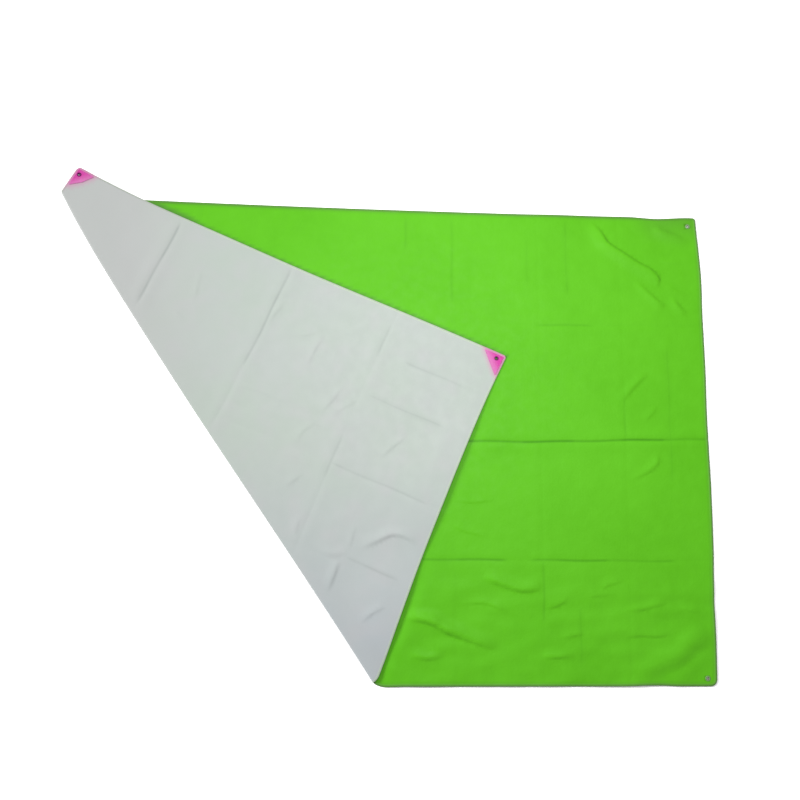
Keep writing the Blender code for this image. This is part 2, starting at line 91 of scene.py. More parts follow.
# %% Corners, with their eyelets and patches
Corner = namedtuple("Corner", "name u v toward_u toward_v radius inset_u inset_v leg belly level flap")
CORNERS = (
    Corner("flap_tip", 0.0, CUT_WIDTH, 1, -1, 0.012, 0.0200, 0.0158, 0.062, 0.0050, FLAP_TOP, True),
    Corner("flap_middle", 0.0, 0.0, 1, 1, 0.009, 0.0190, 0.0250, 0.074, 0.0010, FLAP_TOP, True),
    Corner("right_top", CUT_LENGTH, CUT_WIDTH, -1, -1, 0.009, 0.0265, 0.0280, 0.070, 0.0020, 0.0024, False),
    Corner("right_bottom", CUT_LENGTH, 0.0, -1, 1, 0.020, 0.0280, 0.0215, 0.070, 0.0020, 0.0024, False),
)
PATCH_THICK, PLAY = 0.0010, 0.0003      # play is the gap between two pieces
SEAT_MARGIN, SEAT_FADE = 0.004, 0.060   # the cloth is flat this far round a patch, and fades over this way
SEAT_FROM_FOLD = 0.020                  # but not this near to the fold


def eyelet_on_cut(corner):
    """Where an eyelet's axis goes through the flat cut."""
    return corner.u + corner.toward_u * corner.inset_u, corner.v + corner.toward_v * corner.inset_v


print("eyelets on the cut:", [tuple(round(x, 4) for x in eyelet_on_cut(corner)) for corner in CORNERS])

# %% How far each laid edge strays from a true fold
Stray = namedtuple("Stray", "foot head far_low far_high")
STRAY = {
    "lower": Stray((0.004, -0.002), (-0.002, 0.002), (0.0, 0.0), (0.0, 0.002)),
    "flap": Stray((0.004, -0.002), (-0.002, 0.002), (-0.008, -0.001), (0.010, 0.006)),
}
Bow = namedtuple("Bow", "outward peak")
BOWS = {
    "fold": Bow(0.016, 0.72),
    ("lower", "far"): Bow(0.011, 0.55), ("lower", "low"): Bow(0.0, 0.5),
    ("lower", "high"): Bow(-0.0145, 0.27), ("flap", "far"): Bow(-0.0145, 0.68),
    ("flap", "low"): Bow(-0.014, 0.55), ("flap", "high"): Bow(0.0, 0.5),
}
print("deepest bow of an edge:", max(abs(edge.outward) for edge in BOWS.values()), "m")

# %% Where free folds pull an edge of the lower layer to the right or away from the reader
Pull = namedtuple("Pull", "u v right away reach")
PULLS = (
    Pull(1.880, 1.400, 0.0, -0.0042, 0.090), Pull(2.000, 1.220, 0.0042, 0.0, 0.150),
    Pull(2.000, 0.750, -0.0028, 0.0, 0.190), Pull(1.810, 0.000, 0.0, 0.0024, 0.090),
    Pull(2.000, 0.245, -0.0034, 0.0, 0.150),
)
print("pulls of an edge:", len(PULLS))

# %% [markdown]
# ## Laying the cut down
#
# The fold is a soft roll: half a turn of a small cylinder whose radius shrinks from the foot, where air
# keeps it open, to the head, where it is pressed flat. Seen along the fold, the section is a straight
# layer, half a turn, and a second layer that settles back down. Edges of a laid cloth are never straight,
# so each gets a long gentle bow, and the corner at the foot draws up a little along the fold.
#
# The functions take whole arrays of points at once, which numpy works out in a moment even for the nearly
# fifty thousand points of a fine sheet.

# %% Soft steps, mirrored directions and the way from the fold
def smooth(x):
    """A soft step from 0 to 1."""
    x = np.clip(x, 0.0, 1.0)
    return x * x * (3.0 - 2.0 * x)


def mirrored(direction):
    """A direction of the cut after it is turned over with the flap."""
    direction = np.array(direction)
    return direction - 2.0 * direction.dot(ACROSS) * ACROSS


def across_fold(u, v):
    """Distance of points of the cut from the fold; below zero on the flap."""
    return (np.stack([u, v], 1) - FOOT) @ ACROSS


print("the cut's long side, turned over, points along", mirrored((1.0, 0.0)).round(3))


# %% The stray of the laid edges
def bow(edge, t):
    """Outward offset of an edge at t, 0 to 1 along it: broad at its peak and nothing at its ends."""
    turned = t ** (math.log(0.5) / math.log(edge.peak))
    return (edge.outward * (1.0 - np.abs(2.0 * turned - 1.0) ** 2.6))[:, None]


def stray(u, v, across):
    """Sideways offset of points from the true fold: uneven laying and bowed edges."""
    s = np.clip(v / CUT_WIDTH, 0.0, 1.0)
    fold_u = FOLD_FOOT + (FOLD_HEAD - FOLD_FOOT) * s
    offset = np.zeros((len(u), 2))
    for layer, here, reach, far, low in (
        ("lower", across >= 0.0, CUT_LENGTH - fold_u, np.array([1.0, 0.0]), np.array([0.0, -1.0])),
        ("flap", across < 0.0, fold_u, mirrored((-1.0, 0.0)), mirrored((0.0, -1.0))),
    ):
        t = np.minimum(np.abs(u - fold_u) / reach, 1.0)
        foot, head, far_low, far_high = (np.array(way) for way in STRAY[layer])
        place = (foot + (head - foot) * s[:, None]) * (1.0 - t)[:, None]
        place += (far_low + (far_high - far_low) * s[:, None]) * t[:, None]
        place -= ACROSS * bow(BOWS["fold"], s) * ((1.0 - t) ** 2)[:, None]
        place += far * bow(BOWS[layer, "far"], s) * (t ** 2)[:, None]
        place += low * bow(BOWS[layer, "low"], t) * ((1.0 - s) ** 2)[:, None]
        place -= low * bow(BOWS[layer, "high"], t) * (s ** 2)[:, None]
        offset[here] = place[here]
    side = smooth(0.5 + across / (4.0 * ROLL_FOOT))
    reach = FOOT_FLAP + (FOOT_LOWER - FOOT_FLAP) * side
    near = np.maximum(0.0, 1.0 - np.hypot(u - FOLD_FOOT, v) / reach)
    return offset + ALONG * (FOOT_DRAW * near ** 2)[:, None]


def pulled(u, v):
    """Sideways offset of points of the lower layer where free folds run into its edges."""
    offset = np.zeros((len(u), 2))
    for pull in PULLS:
        off = np.minimum(np.hypot(u - pull.u, v - pull.v) / pull.reach, 1.0)
        offset += np.array([pull.right, pull.away]) * ((1.0 - off ** 2) ** 2)[:, None]
    return offset


print("pull at the right edge's upper half:", pulled(np.array([2.0]), np.array([1.22]))[0], "m")


# %% The fold's section
def section(across, radius):
    """Distance from the fold's outer side, and height of the silver face, along the laid section."""
    quarter = radius * np.pi / 2
    turn = np.clip(across / radius, -np.pi / 2, np.pi / 2)
    settled = smooth((np.abs(across) - quarter) / SETTLE)
    rolled = np.abs(across) <= quarter
    straight = np.abs(across) - (quarter - radius) * (1.0 - settled)
    laid = np.where(across > 0, 0.0, 2 * radius + (FLAP_TOP - 2 * radius) * settled)
    return (np.where(rolled, radius * (1.0 - np.cos(turn)), straight),
            np.where(rolled, radius * (1.0 - np.sin(turn)), laid))


print("height of the section at the foot, m:", section(np.array([0.1, 0.0, -0.1]), ROLL_FOOT)[1].round(4))

# %% [markdown]
# ## Creases, wrinkles and lifted edges
#
# A foil blanket comes packed small, so it keeps a grid of packing creases: each is a narrow valley between
# two soft shoulders. Most have nearly pressed out again, so a second table says along which stretches one
# is still sharp. Between them lie free wrinkles from handling. A cloth simulation would put wrinkles in
# places of its own, so they are listed one by one instead. What the eye sees of a wrinkle is the line where
# it falls away from the light, so each is drawn along that line, with its height, the reach of its gentle
# side and the width of its steep one; which side is steep follows from the light.

# %% Tables of packing creases
Crease = namedtuple("Crease", "axis place height")
CREASES = (
    *(Crease("v", k * PACKED_WIDE, height) for k, height in ((1, 0.0012), (2, 0.0020), (3, 0.0014))),
    *(Crease("u", k * PACKED_LONG, height)
      for k, height in ((1, 0.0006), (2, 0.0008), (3, 0.0006), (5, 0.0005), (6, 0.0006), (7, 0.0007))),
)
SHOULDER, SHOULDER_END = 0.012, 0.045   # where a crease's shoulder is highest, and where it ends
PRESSED_OUT = 0.40          # share of a crease's height that is left where it is no longer sharp

Stretch = namedtuple("Stretch", "axis place start end wear")
GREEN_STRETCHES = tuple(Stretch(*row) for row in (
    ("v", 0.700, 1.24, 1.87, 1.00), ("v", 0.700, 1.87, 2.00, 0.50), ("v", 0.350, 1.15, 1.39, 0.65),
    ("v", 0.350, 1.47, 1.69, 0.65), ("v", 0.350, 1.69, 1.88, 0.40), ("v", 1.050, 1.50, 1.65, 0.40),
    ("u", 1.500, 0.18, 0.34, 0.30), ("u", 1.750, 0.71, 0.84, 0.20), ("u", 1.605, 0.06, 0.21, 0.30),
    ("u", 1.885, 0.59, 0.98, 0.20), ("u", 1.100, 1.28, 1.37, 0.22), ("u", 1.240, 1.12, 1.37, 0.22),
    ("u", 1.467, 1.18, 1.32, 0.18), ("u", 1.587, 1.15, 1.37, 0.25),
))
SILVER_STRETCHES = tuple(Stretch(*row) for row in (
    ("v", 1.050, 0.03, 0.28, 1.00), ("v", 0.700, 0.02, 0.33, 0.80), ("v", 0.350, 0.06, 0.15, 0.50),
    ("v", 0.350, 0.42, 0.54, 0.40), ("u", 0.500, 0.05, 0.34, 0.42), ("u", 0.730, 0.05, 0.20, 0.55),
    ("u", 0.140, 0.08, 0.26, 0.50), ("u", 0.275, 0.09, 0.32, 0.50),
))
print("packing creases:", len(CREASES), " stretches still sharp:", len(GREEN_STRETCHES + SILVER_STRETCHES))


# %% How a crease wanders
ASKEW, ASKEW_MIDDLE, ASKEW_HALF = 0.007, 1.68, 0.62     # swing of the middle crease, and where it lies
WANDER = 0.0010             # how far every crease strays


def wander(axis, place, along):
    """How far a packing crease strays from its straight line; the middle one runs a little askew."""
    middle = (axis, place) == ("v", 2 * PACKED_WIDE)
    askew = ASKEW * np.sin(np.pi * (along - ASKEW_MIDDLE) / ASKEW_HALF) if middle else 0.0
    return askew + WANDER * np.sin(31.0 * along + 50.0 * place)


print("the middle crease strays by", np.round([wander("v", 0.7, u) for u in (1.2, 1.5, 1.8)], 4), "m")

# %% Tables of free wrinkles and lifts
Wrinkle = namedtuple("Wrinkle", "height reach steep points")
GREEN_WRINKLES = tuple(Wrinkle(*row) for row in (
    (0.0062, 0.040, 0.010, ((1.672, 1.382), (1.702, 1.346), (1.720, 1.315), (1.760, 1.287), (1.809, 1.254),
                            (1.852, 1.230), (1.873, 1.202), (1.865, 1.176))),
    (0.0029, 0.024, 0.009, ((1.806, 1.190), (1.834, 1.163), (1.864, 1.135), (1.888, 1.120))),
    (0.0025, 0.022, 0.010, ((1.911, 1.143), (1.932, 1.116), (1.953, 1.094))),
    (0.0013, 0.014, 0.008, ((1.875, 1.260), (1.909, 1.252), (1.947, 1.250))),
    (0.0013, 0.014, 0.008, ((1.894, 1.184), (1.925, 1.166), (1.962, 1.155))),
    (0.0058, 0.030, 0.020, ((1.867, 1.376), (1.923, 1.349), (1.985, 1.332))),
    (0.0021, 0.024, 0.010, ((1.824, 0.901), (1.786, 0.866), (1.744, 0.816))),
    (0.0012, 0.014, 0.009, ((1.850, 0.801), (1.828, 0.776), (1.812, 0.761))),
    (0.0021, 0.020, 0.010, ((1.848, 0.660), (1.844, 0.633), (1.813, 0.606), (1.767, 0.584))),
    (0.0012, 0.016, 0.008, ((1.249, 0.517), (1.298, 0.512), (1.356, 0.519))),
    (0.0014, 0.016, 0.008, ((1.240, 0.445), (1.274, 0.429), (1.335, 0.415))),
    (0.0057, 0.030, 0.013, ((1.326, 0.297), (1.377, 0.278), (1.435, 0.261), (1.496, 0.267))),
    (0.0019, 0.020, 0.009, ((1.506, 0.212), (1.538, 0.220), (1.570, 0.240))),
    (0.0020, 0.018, 0.009, ((1.667, 0.266), (1.691, 0.280), (1.733, 0.289))),
    (0.0013, 0.016, 0.008, ((1.626, 0.246), (1.661, 0.249), (1.693, 0.252))),
    (0.0026, 0.020, 0.010, ((1.736, 0.208), (1.783, 0.211), (1.827, 0.222), (1.854, 0.228))),
    (0.0016, 0.016, 0.009, ((1.895, 0.214), (1.954, 0.203))),
    (0.0023, 0.020, 0.009, ((1.262, 0.224), (1.319, 0.227), (1.354, 0.219), (1.382, 0.205))),
    (0.0088, 0.034, 0.015, ((1.107, 0.187), (1.177, 0.171), (1.222, 0.146), (1.290, 0.122),
                            (1.364, 0.098))),
    (0.0036, 0.026, 0.024, ((1.096, 0.184), (1.150, 0.174), (1.196, 0.158))),
    (0.0035, 0.016, 0.013, ((1.121, 0.081), (1.163, 0.073), (1.208, 0.078))),
    (0.0020, 0.016, 0.009, ((1.554, 0.132), (1.583, 0.137), (1.612, 0.143))),
    (0.0031, 0.024, 0.010, ((1.733, 0.135), (1.780, 0.138), (1.824, 0.136), (1.865, 0.141))),
    (0.0026, 0.018, 0.010, ((1.495, 0.079), (1.535, 0.077), (1.578, 0.082))),
    (0.0068, 0.045, 0.040, ((1.985, 0.140), (1.925, 0.094), (1.880, 0.061), (1.775, 0.020))),
))
SILVER_WRINKLES = tuple(Wrinkle(*row) for row in (
    (0.0012, 0.018, 0.009, ((0.113, 0.664), (0.158, 0.676), (0.198, 0.684))),
    (0.0009, 0.016, 0.008, ((0.208, 0.616), (0.181, 0.564), (0.148, 0.527))),
    (0.0011, 0.018, 0.009, ((0.157, 0.517), (0.213, 0.524), (0.269, 0.525))),
    (0.0012, 0.018, 0.009, ((0.284, 0.405), (0.331, 0.416), (0.373, 0.432))),
    (0.0007, 0.014, 0.008, ((0.300, 0.347), (0.339, 0.377), (0.375, 0.400))),
    (0.0010, 0.018, 0.009, ((0.412, 0.434), (0.449, 0.459), (0.485, 0.461))),
    (0.0006, 0.014, 0.008, ((0.407, 0.495), (0.413, 0.443), (0.421, 0.389))),
    (0.0007, 0.016, 0.009, ((0.399, 0.688), (0.392, 0.621), (0.392, 0.534))),
    (0.0013, 0.016, 0.009, ((0.342, 0.171), (0.385, 0.197), (0.430, 0.219))),
    (0.0027, 0.026, 0.010, ((0.688, 0.171), (0.656, 0.138), (0.624, 0.106), (0.614, 0.069),
                            (0.621, 0.035))),
    (0.0020, 0.020, 0.010, ((0.745, 0.220), (0.784, 0.219), (0.832, 0.219))),
    (0.0011, 0.016, 0.016, ((0.743, 0.279), (0.739, 0.241), (0.715, 0.206))),
    (0.0009, 0.014, 0.008, ((0.642, 0.213), (0.703, 0.205))),
    (0.0016, 0.018, 0.009, ((0.815, 0.050), (0.840, 0.075), (0.877, 0.099))),
    (0.0010, 0.014, 0.008, ((0.679, 0.372), (0.722, 0.365))),
    (0.0010, 0.014, 0.008, ((0.568, 0.415), (0.611, 0.442))),
    (0.0008, 0.014, 0.008, ((0.270, 0.946), (0.280, 0.909))),
    (0.0008, 0.014, 0.008, ((0.135, 0.926), (0.219, 0.906))),
))
Lift = namedtuple("Lift", "u v height reach")
LIFTS = (
    Lift(0.820, 0.000, 0.0065, 0.200), Lift(0.450, 0.000, 0.0060, 0.240), Lift(0.000, 0.900, 0.0060, 0.300),
    Lift(0.270, 0.000, 0.0035, 0.140), Lift(1.780, 0.000, 0.0022, 0.090), Lift(1.560, 1.400, 0.0025, 0.120),
)
LAMP_OVER_CUT = np.array([1.30, 1.24])      # the overhead lamp, seen from above the cut
KEY_FROM = np.array([-2.30, 0.76])          # direction towards the lamp at the left, as strong as it counts
print("free wrinkles:", len(GREEN_WRINKLES + SILVER_WRINKLES), " lifts:", len(LIFTS))


# %% One wrinkle's height
def curved(points, pieces=5):
    """A smooth path through the points, as many short pieces."""
    ends = [2 * np.array(points[0]) - points[1], *map(np.array, points),
            2 * np.array(points[-1]) - points[-2]]
    path = []
    for a, b, c, d in zip(ends, ends[1:], ends[2:], ends[3:]):
        for t in np.arange(pieces) / pieces:
            path.append(0.5 * (2 * b + (c - a) * t + (2 * a - 5 * b + 4 * c - d) * t ** 2
                               + (3 * b - a - 3 * c + d) * t ** 3))
    return np.array(path + [np.array(points[-1])])


def shaded_side(wrinkle, flap):
    """1 when a wrinkle falls away from the light on the left of its path in the cut, -1 on the right."""
    start, end = np.array(wrinkle.points[0]), np.array(wrinkle.points[-1])
    left, middle = np.array([start[1] - end[1], end[0] - start[0]]), (start + end) / 2
    if flap:
        left, middle = mirrored(left), FOOT + mirrored(middle - FOOT)
    to_light = LAMP_OVER_CUT - middle + KEY_FROM
    return -1.0 if left.dot(to_light) > 0 else 1.0


def wrinkle_height(wrinkle, side, u, v):
    """Ridge beside a path: steep on the shaded side, gentle on the other, running out at both ends."""
    path = curved(wrinkle.points)
    margin = wrinkle.reach + wrinkle.steep
    low, high = path.min(0) - margin, path.max(0) + margin
    near = np.flatnonzero((u > low[0]) & (u < high[0]) & (v > low[1]) & (v < high[1]))
    q = np.stack([u[near], v[near]], 1)
    closest, signed, run = np.full(len(near), np.inf), np.zeros(len(near)), np.zeros(len(near))
    for k, (a, b) in enumerate(zip(path, path[1:])):
        way = b - a
        share = np.clip((q - a) @ way / way.dot(way), 0.0, 1.0)
        away = q - (a + way * share[:, None])
        off = np.hypot(*away.T)
        now = off < closest
        closest[now] = off[now]
        signed[now] = (off * side * np.sign(way[0] * away[:, 1] - way[1] * away[:, 0]))[now]
        run[now] = ((k + share) / (len(path) - 1))[now]
    signed += wrinkle.steep / 2
    off = np.where(signed > 0.0, signed / wrinkle.steep, -signed / wrinkle.reach)
    height = np.zeros(len(u))
    ridge = np.clip(1.0 - off ** 2, 0.0, None) ** 2
    height[near] = wrinkle.height * ridge * (1.0 - np.abs(2.0 * run - 1.0) ** 3)
    return height


print("steep side of the first green wrinkle:", shaded_side(GREEN_WRINKLES[0], False))


# %% All heights together
UNEVEN = 0.0012             # height of the plain unevenness
SAME_CREASE, STRETCH_FADE = 0.02, 0.03  # how near a stretch is to its crease, and how its ends fade


def stretch_share(stretches, axis, place, u, v):
    """How sharp a crease still is beside each point: up to a stretch's wear on it, and 0 off them all."""
    along = v if axis == "u" else u
    sharp = np.zeros(len(u))
    for stretch in stretches:
        if stretch.axis == axis and abs(stretch.place - place) < SAME_CREASE:
            inside = np.minimum(along - stretch.start, stretch.end - along)
            sharp = np.maximum(sharp, stretch.wear * smooth(inside / STRETCH_FADE + 0.5))
    return sharp


def ripple(u, v, size, seed, stretched=1.0):
    """Even, soft unevenness from 0 to 1, with hollows about one size apart, or more along the long side."""
    return np.array([0.5 + 0.5 * noise.noise((a / size / stretched, b / size, seed))
                     for a, b in zip(u, v)])


def relief(u, v, across, unevenness):
    """Height of creases, wrinkles, lifted edges and plain unevenness over the flat layer."""
    height = UNEVEN * unevenness
    flap = across < 0.0
    for crease in CREASES:
        off, along = (u - crease.place, v) if crease.axis == "u" else (v - crease.place, u)
        off = off - wander(crease.axis, crease.place, along)
        rise = np.minimum(np.abs(off) / SHOULDER, 1.0)
        rise *= 1.0 - smooth((np.abs(off) - SHOULDER) / (SHOULDER_END - SHOULDER))
        sharp = np.where(flap, stretch_share(SILVER_STRETCHES, crease.axis, crease.place, u, v),
                         stretch_share(GREEN_STRETCHES, crease.axis, crease.place, u, v))
        left = PRESSED_OUT + (1.0 - PRESSED_OUT) * sharp
        swell = 0.70 + 0.30 * np.sin(9.0 * along + 40.0 * crease.place)
        height += crease.height * left * swell * rise
    for here, wrinkles, is_flap in ((flap, SILVER_WRINKLES, True), (~flap, GREEN_WRINKLES, False)):
        for wrinkle in wrinkles:
            height += np.where(here, wrinkle_height(wrinkle, shaded_side(wrinkle, is_flap), u, v), 0.0)
    for lift in LIFTS:
        off = np.minimum(np.hypot(u - lift.u, v - lift.v) / lift.reach, 1.0)
        height += lift.height * (1.0 - off ** 2) ** 2
    return height


tables = (*CREASES, *GREEN_WRINKLES, *SILVER_WRINKLES, *LIFTS)
print("tallest entry of the tables:", max(entry.height for entry in tables), "m")


# %% Any point of the cut to its laid place
def covered(u, v):
    """How much of the flap's weight lies on points of the lower layer, 0 to 1."""
    q = np.stack([u, v], 1) - 2.0 * across_fold(u, v)[:, None] * ACROSS
    inside = np.minimum(np.minimum(q[:, 0], q[:, 1]), CUT_WIDTH - q[:, 1])
    return smooth(inside / COVER_EDGE + 1.0)


def seat_share(corner, u, v):
    """1 where the corner's patch lies, which is flat, and 0 past the way over which that runs out."""
    away = (u - corner.u) * corner.toward_u + (v - corner.v) * corner.toward_v
    return 1.0 - smooth((away - corner.leg - 2.0 * corner.belly - SEAT_MARGIN) / SEAT_FADE)


def lay(u, v, unevenness=0.0):
    """Place of points of the silver face, before the centre of the box is taken off."""
    q = np.stack([u, v], 1) - FOOT
    along, across = q @ ALONG, q @ ACROSS
    radius = ROLL_FOOT + (ROLL_HEAD - ROLL_FOOT) * np.clip(along / FOLD_LENGTH, 0.0, 1.0)
    out, height = section(across, radius)
    place = FOOT + along[:, None] * ALONG + out[:, None] * ACROSS + stray(u, v, across)
    place += pulled(u, v) * (across > 0.0)[:, None]
    free = smooth((np.abs(across) - radius * np.pi / 2) / RELIEF_FADE)
    free = np.where(across > 0.0, free * (1.0 - PRESSED * covered(u, v)), free)
    height = height + relief(u, v, across, unevenness) * free
    for corner in CORNERS:
        here = (corner.flap == (across < 0.0)) & (np.abs(across) > SEAT_FROM_FOLD)
        height = np.where(here, height + (corner.level - height) * seat_share(corner, u, v), height)
    return np.column_stack([place, height])


print("the flap's tip lies at", lay(np.array([0.0]), np.array([CUT_WIDTH]))[0].round(4))

# %% [markdown]
# The solids' box is centred on the origin, and the centre that was taken off them is found again from one
# eyelet: its axis on the flat cut is known, and the frame says where it stands.

# %% Shift from the laid cut to the frame
def eyelet_axis(corner):
    """Where an eyelet's axis meets the silver face, laid and shifted into the frame."""
    u, v = eyelet_on_cut(corner)
    return lay(np.array([u]), np.array([v]))[0] + SHIFT


SHIFT = np.zeros(3)
low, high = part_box("eyelet_right_bottom")
SHIFT[:2] = ((np.array(low) + np.array(high)) / 2 - eyelet_axis(CORNERS[3]))[:2]
for corner in CORNERS:
    low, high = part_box("eyelet_" + corner.name)
    miss = (eyelet_axis(corner) - (np.array(low) + np.array(high)) / 2)[:2]
    print(f"eyelet {corner.name}: {1000 * np.hypot(*miss):.2f} mm from its solid")


# %% [markdown]
# ## The flat cut as a mesh
#
# The grid is fine where the cloth bends sharply: lines at the hem's step, in the corners, on each packing
# crease and on its shoulders, and 10 mm apart elsewhere. Packing creases wander a little, and the grid
# near them is shifted to follow. The fold is slanted, so its lines are scored across the grid with a
# bisecting plane, as a rule and knife would do it, and each free wrinkle gets lines of its own in the same
# way, without which its steep side would look chipped. Each eyelet hole is made by taking out the cells it
# reaches and filling up to a small ring again, which keeps every face clean; a boolean would cut the same
# hole out of the finished shell, but more slowly.

# %% Grid lines
FINE = 0.010                # distance between plain grid lines
KEEP_APART = 0.0035         # a plain line is left out this near to another one
HEM_LINES = (0.0, 0.0007, 0.0016, 0.0030, HEM_WIDE, HEM_WIDE + HEM_STEP)
CORNER_LINES = (0.0100, 0.0135, 0.0170)     # these keep the rounded corners round
CREASE_LINES = (0.0, 0.0022, 0.0060, SHOULDER)      # on both sides of a packing crease
STRETCH_LINE = 0.004        # on both sides of a crease that lies off the packing grid


def grid_lines(axis, length):
    """Sorted grid lines along one side, with no two nearly on each other."""
    kept = {line for near in HEM_LINES + CORNER_LINES for line in (near, length - near)}
    for stretch in GREEN_STRETCHES + SILVER_STRETCHES:
        if stretch.axis == axis and all(abs(stretch.place - crease.place) > 0.001 for crease in CREASES):
            kept |= {stretch.place - STRETCH_LINE, stretch.place, stretch.place + STRETCH_LINE}
    for crease in CREASES:
        if crease.axis == axis:
            kept |= {crease.place + side * way for side in (-1, 1) for way in CREASE_LINES}
    for line in np.linspace(0.0, length, round(length / FINE) + 1):
        if min(abs(line - other) for other in kept) > KEEP_APART:
            kept.add(float(line))
    return sorted(kept)


print("grid lines:", len(grid_lines("u", CUT_LENGTH)), "by", len(grid_lines("v", CUT_WIDTH)))


# %% Scoring lines across the grid
def with_edges_and_points(faces):
    """Faces with all their edges and points, as the list that a bisecting plane works on."""
    return list(set(faces) | {e for f in faces for e in f.edges} | {v for f in faces for v in f.verts})


def score(cut, point, other):
    """Split the faces near a line through two points of the cut."""
    way = Vector(other) - Vector(point)
    normal = Vector((way.y, -way.x)).normalized()
    faces = [f for f in cut.faces
             if abs((f.calc_center_median().xy - Vector(point)).dot(normal)) < 2 * FINE]
    bmesh.ops.bisect_plane(cut, geom=with_edges_and_points(faces), dist=0.00002,
                           plane_co=(*point, 0.0), plane_no=(*normal, 0.0))


def score_wrinkle(cut, wrinkle, side):
    """Give a wrinkle edges of its own: along its crest, down its steep side, and along its foot."""
    path = np.array(wrinkle.points)
    low, high = path.min(0) - 2 * FINE, path.max(0) + 2 * FINE
    near = [f for f in cut.faces
            if low[0] < f.verts[0].co.x < high[0] and low[1] < f.verts[0].co.y < high[1]]
    for (ax, ay), (bx, by) in zip(path.tolist(), path[1:].tolist()):
        length = math.hypot(bx - ax, by - ay)
        way_x, way_y = (bx - ax) / length, (by - ay) / length
        for share in (-1.0, -0.5, 0.0, 0.5) if wrinkle.height > 0.002 else (-0.5, 0.0, 0.5):
            off = wrinkle.steep * share * side
            chosen, rest = [], []
            for face in near:
                if face.is_valid:
                    centre = face.calc_center_median()
                    x, y = centre.x - ax, centre.y - ay
                    inside = -0.004 < x * way_x + y * way_y < length + 0.004
                    (chosen if inside and abs(y * way_x - x * way_y - off) < FINE else rest).append(face)
            made = bmesh.ops.bisect_plane(cut, geom=with_edges_and_points(chosen), dist=0.0005,
                                          plane_co=(ax - way_y * off, ay + way_x * off, 0.0),
                                          plane_no=(-way_y, way_x, 0.0))["geom"]
            near = rest + [item for item in made if isinstance(item, bmesh.types.BMFace)]


# %% Ring holes
HOLE_RING, HOLE_MARGIN = 0.0050, 0.0008     # radius of a hole's ring, and how near a cell may come to it


def ring_hole(cut, place):
    """Take out the cells that reach a hole, and fill from their edge to a ring of points again."""
    def reach(face):
        low, high = (Vector(pick(v.co[k] for v in face.verts) for k in (0, 1)) for pick in (min, max))
        return math.hypot(*(max(low[k] - place[k], place[k] - high[k], 0.0) for k in (0, 1)))

    def turn(vert):
        return math.atan2(vert.co.y - place.y, vert.co.x - place.x)

    near = [f for f in cut.faces
            if (f.verts[0].co.xy - place).length < 4 * FINE and reach(f) < HOLE_RING + HOLE_MARGIN]
    around = {v for f in near for v in f.verts}
    bmesh.ops.delete(cut, geom=near, context="FACES")
    outer = sorted((v for v in around if v.is_valid), key=turn)
    ring = [cut.verts.new((place.x + HOLE_RING * math.cos(a), place.y + HOLE_RING * math.sin(a), 0.0))
            for a in (math.pi * (k - 7.5) / 8 for k in range(16))]
    i = j = 0
    while i < len(outer) or j < len(ring):
        start, end = outer[i % len(outer)], ring[j % len(ring)]
        next_out = turn(outer[(i + 1) % len(outer)]) + (2 * math.pi if i + 1 >= len(outer) else 0.0)
        next_ring = turn(ring[(j + 1) % len(ring)]) + (2 * math.pi if j + 1 >= len(ring) else 0.0)
        if j == len(ring) or (i < len(outer) and next_out < next_ring):
            i += 1
            cut.faces.new((start, outer[i % len(outer)], end))
        else:
            j += 1
            cut.faces.new((start, ring[j % len(ring)], end))


print(f"holes of {2000 * HOLE_RING:.0f} mm across, under flanges and rims")


# %% The whole flat cut
FOLLOW = 0.04               # grid lines this near a crease follow its wander


def flat_cut():
    """Grid with the fold and the wrinkles scored into it, and four ring holes."""
    u_lines, v_lines = grid_lines("u", CUT_LENGTH), grid_lines("v", CUT_WIDTH)
    cut = bmesh.new()
    bmesh.ops.create_grid(cut, x_segments=len(u_lines) - 1, y_segments=len(v_lines) - 1, size=0.5)
    # in one fixed order, because each shift changes a little what the next one sees
    lines = sorted({(line.axis, line.place) for line in CREASES + GREEN_STRETCHES + SILVER_STRETCHES})
    for vert in cut.verts:
        column, row = (vert.co.x + 0.5) * (len(u_lines) - 1), (vert.co.y + 0.5) * (len(v_lines) - 1)
        place = [u_lines[round(column)], v_lines[round(row)], 0.0]
        for axis, line in lines:
            a, b = (0, 1) if axis == "u" else (1, 0)
            if abs(place[a] - line) < FOLLOW:
                place[a] += wander(axis, line, place[b]) * (1.0 - abs(place[a] - line) / FOLLOW) ** 0.5
        vert.co = place
    for turn in np.radians(range(-90, 91, 18)):
        score(cut, FOOT + ACROSS * ROLL_FOOT * turn, HEAD + ACROSS * ROLL_HEAD * turn)
    for wrinkles, flap in ((GREEN_WRINKLES, False), (SILVER_WRINKLES, True)):
        for wrinkle in wrinkles:
            score_wrinkle(cut, wrinkle, shaded_side(wrinkle, flap))
    for corner in CORNERS:
        ring_hole(cut, Vector(eyelet_on_cut(corner)))
    bmesh.ops.remove_doubles(cut, verts=cut.verts, dist=0.00025)
    bmesh.ops.triangulate(cut, faces=[f for f in cut.faces if len(f.verts) > 4])
    bmesh.ops.recalc_face_normals(cut, faces=cut.faces)
    cut.verts.index_update()
    return cut


def rounded(u, v):
    """Bend the square at each corner of the cut into a quarter disc, hem and all."""
    u, v = u.copy(), v.copy()
    for corner in CORNERS:
        a, b = corner.radius - np.abs(u - corner.u), corner.radius - np.abs(v - corner.v)
        here = (a > 0.0) & (b > 0.0)
        share = np.maximum(a, b)[here] / np.hypot(a, b)[here]
        u[here] = corner.u + corner.toward_u * (corner.radius - a[here] * share)
        v[here] = corner.v + corner.toward_v * (corner.radius - b[here] * share)
    return u, v


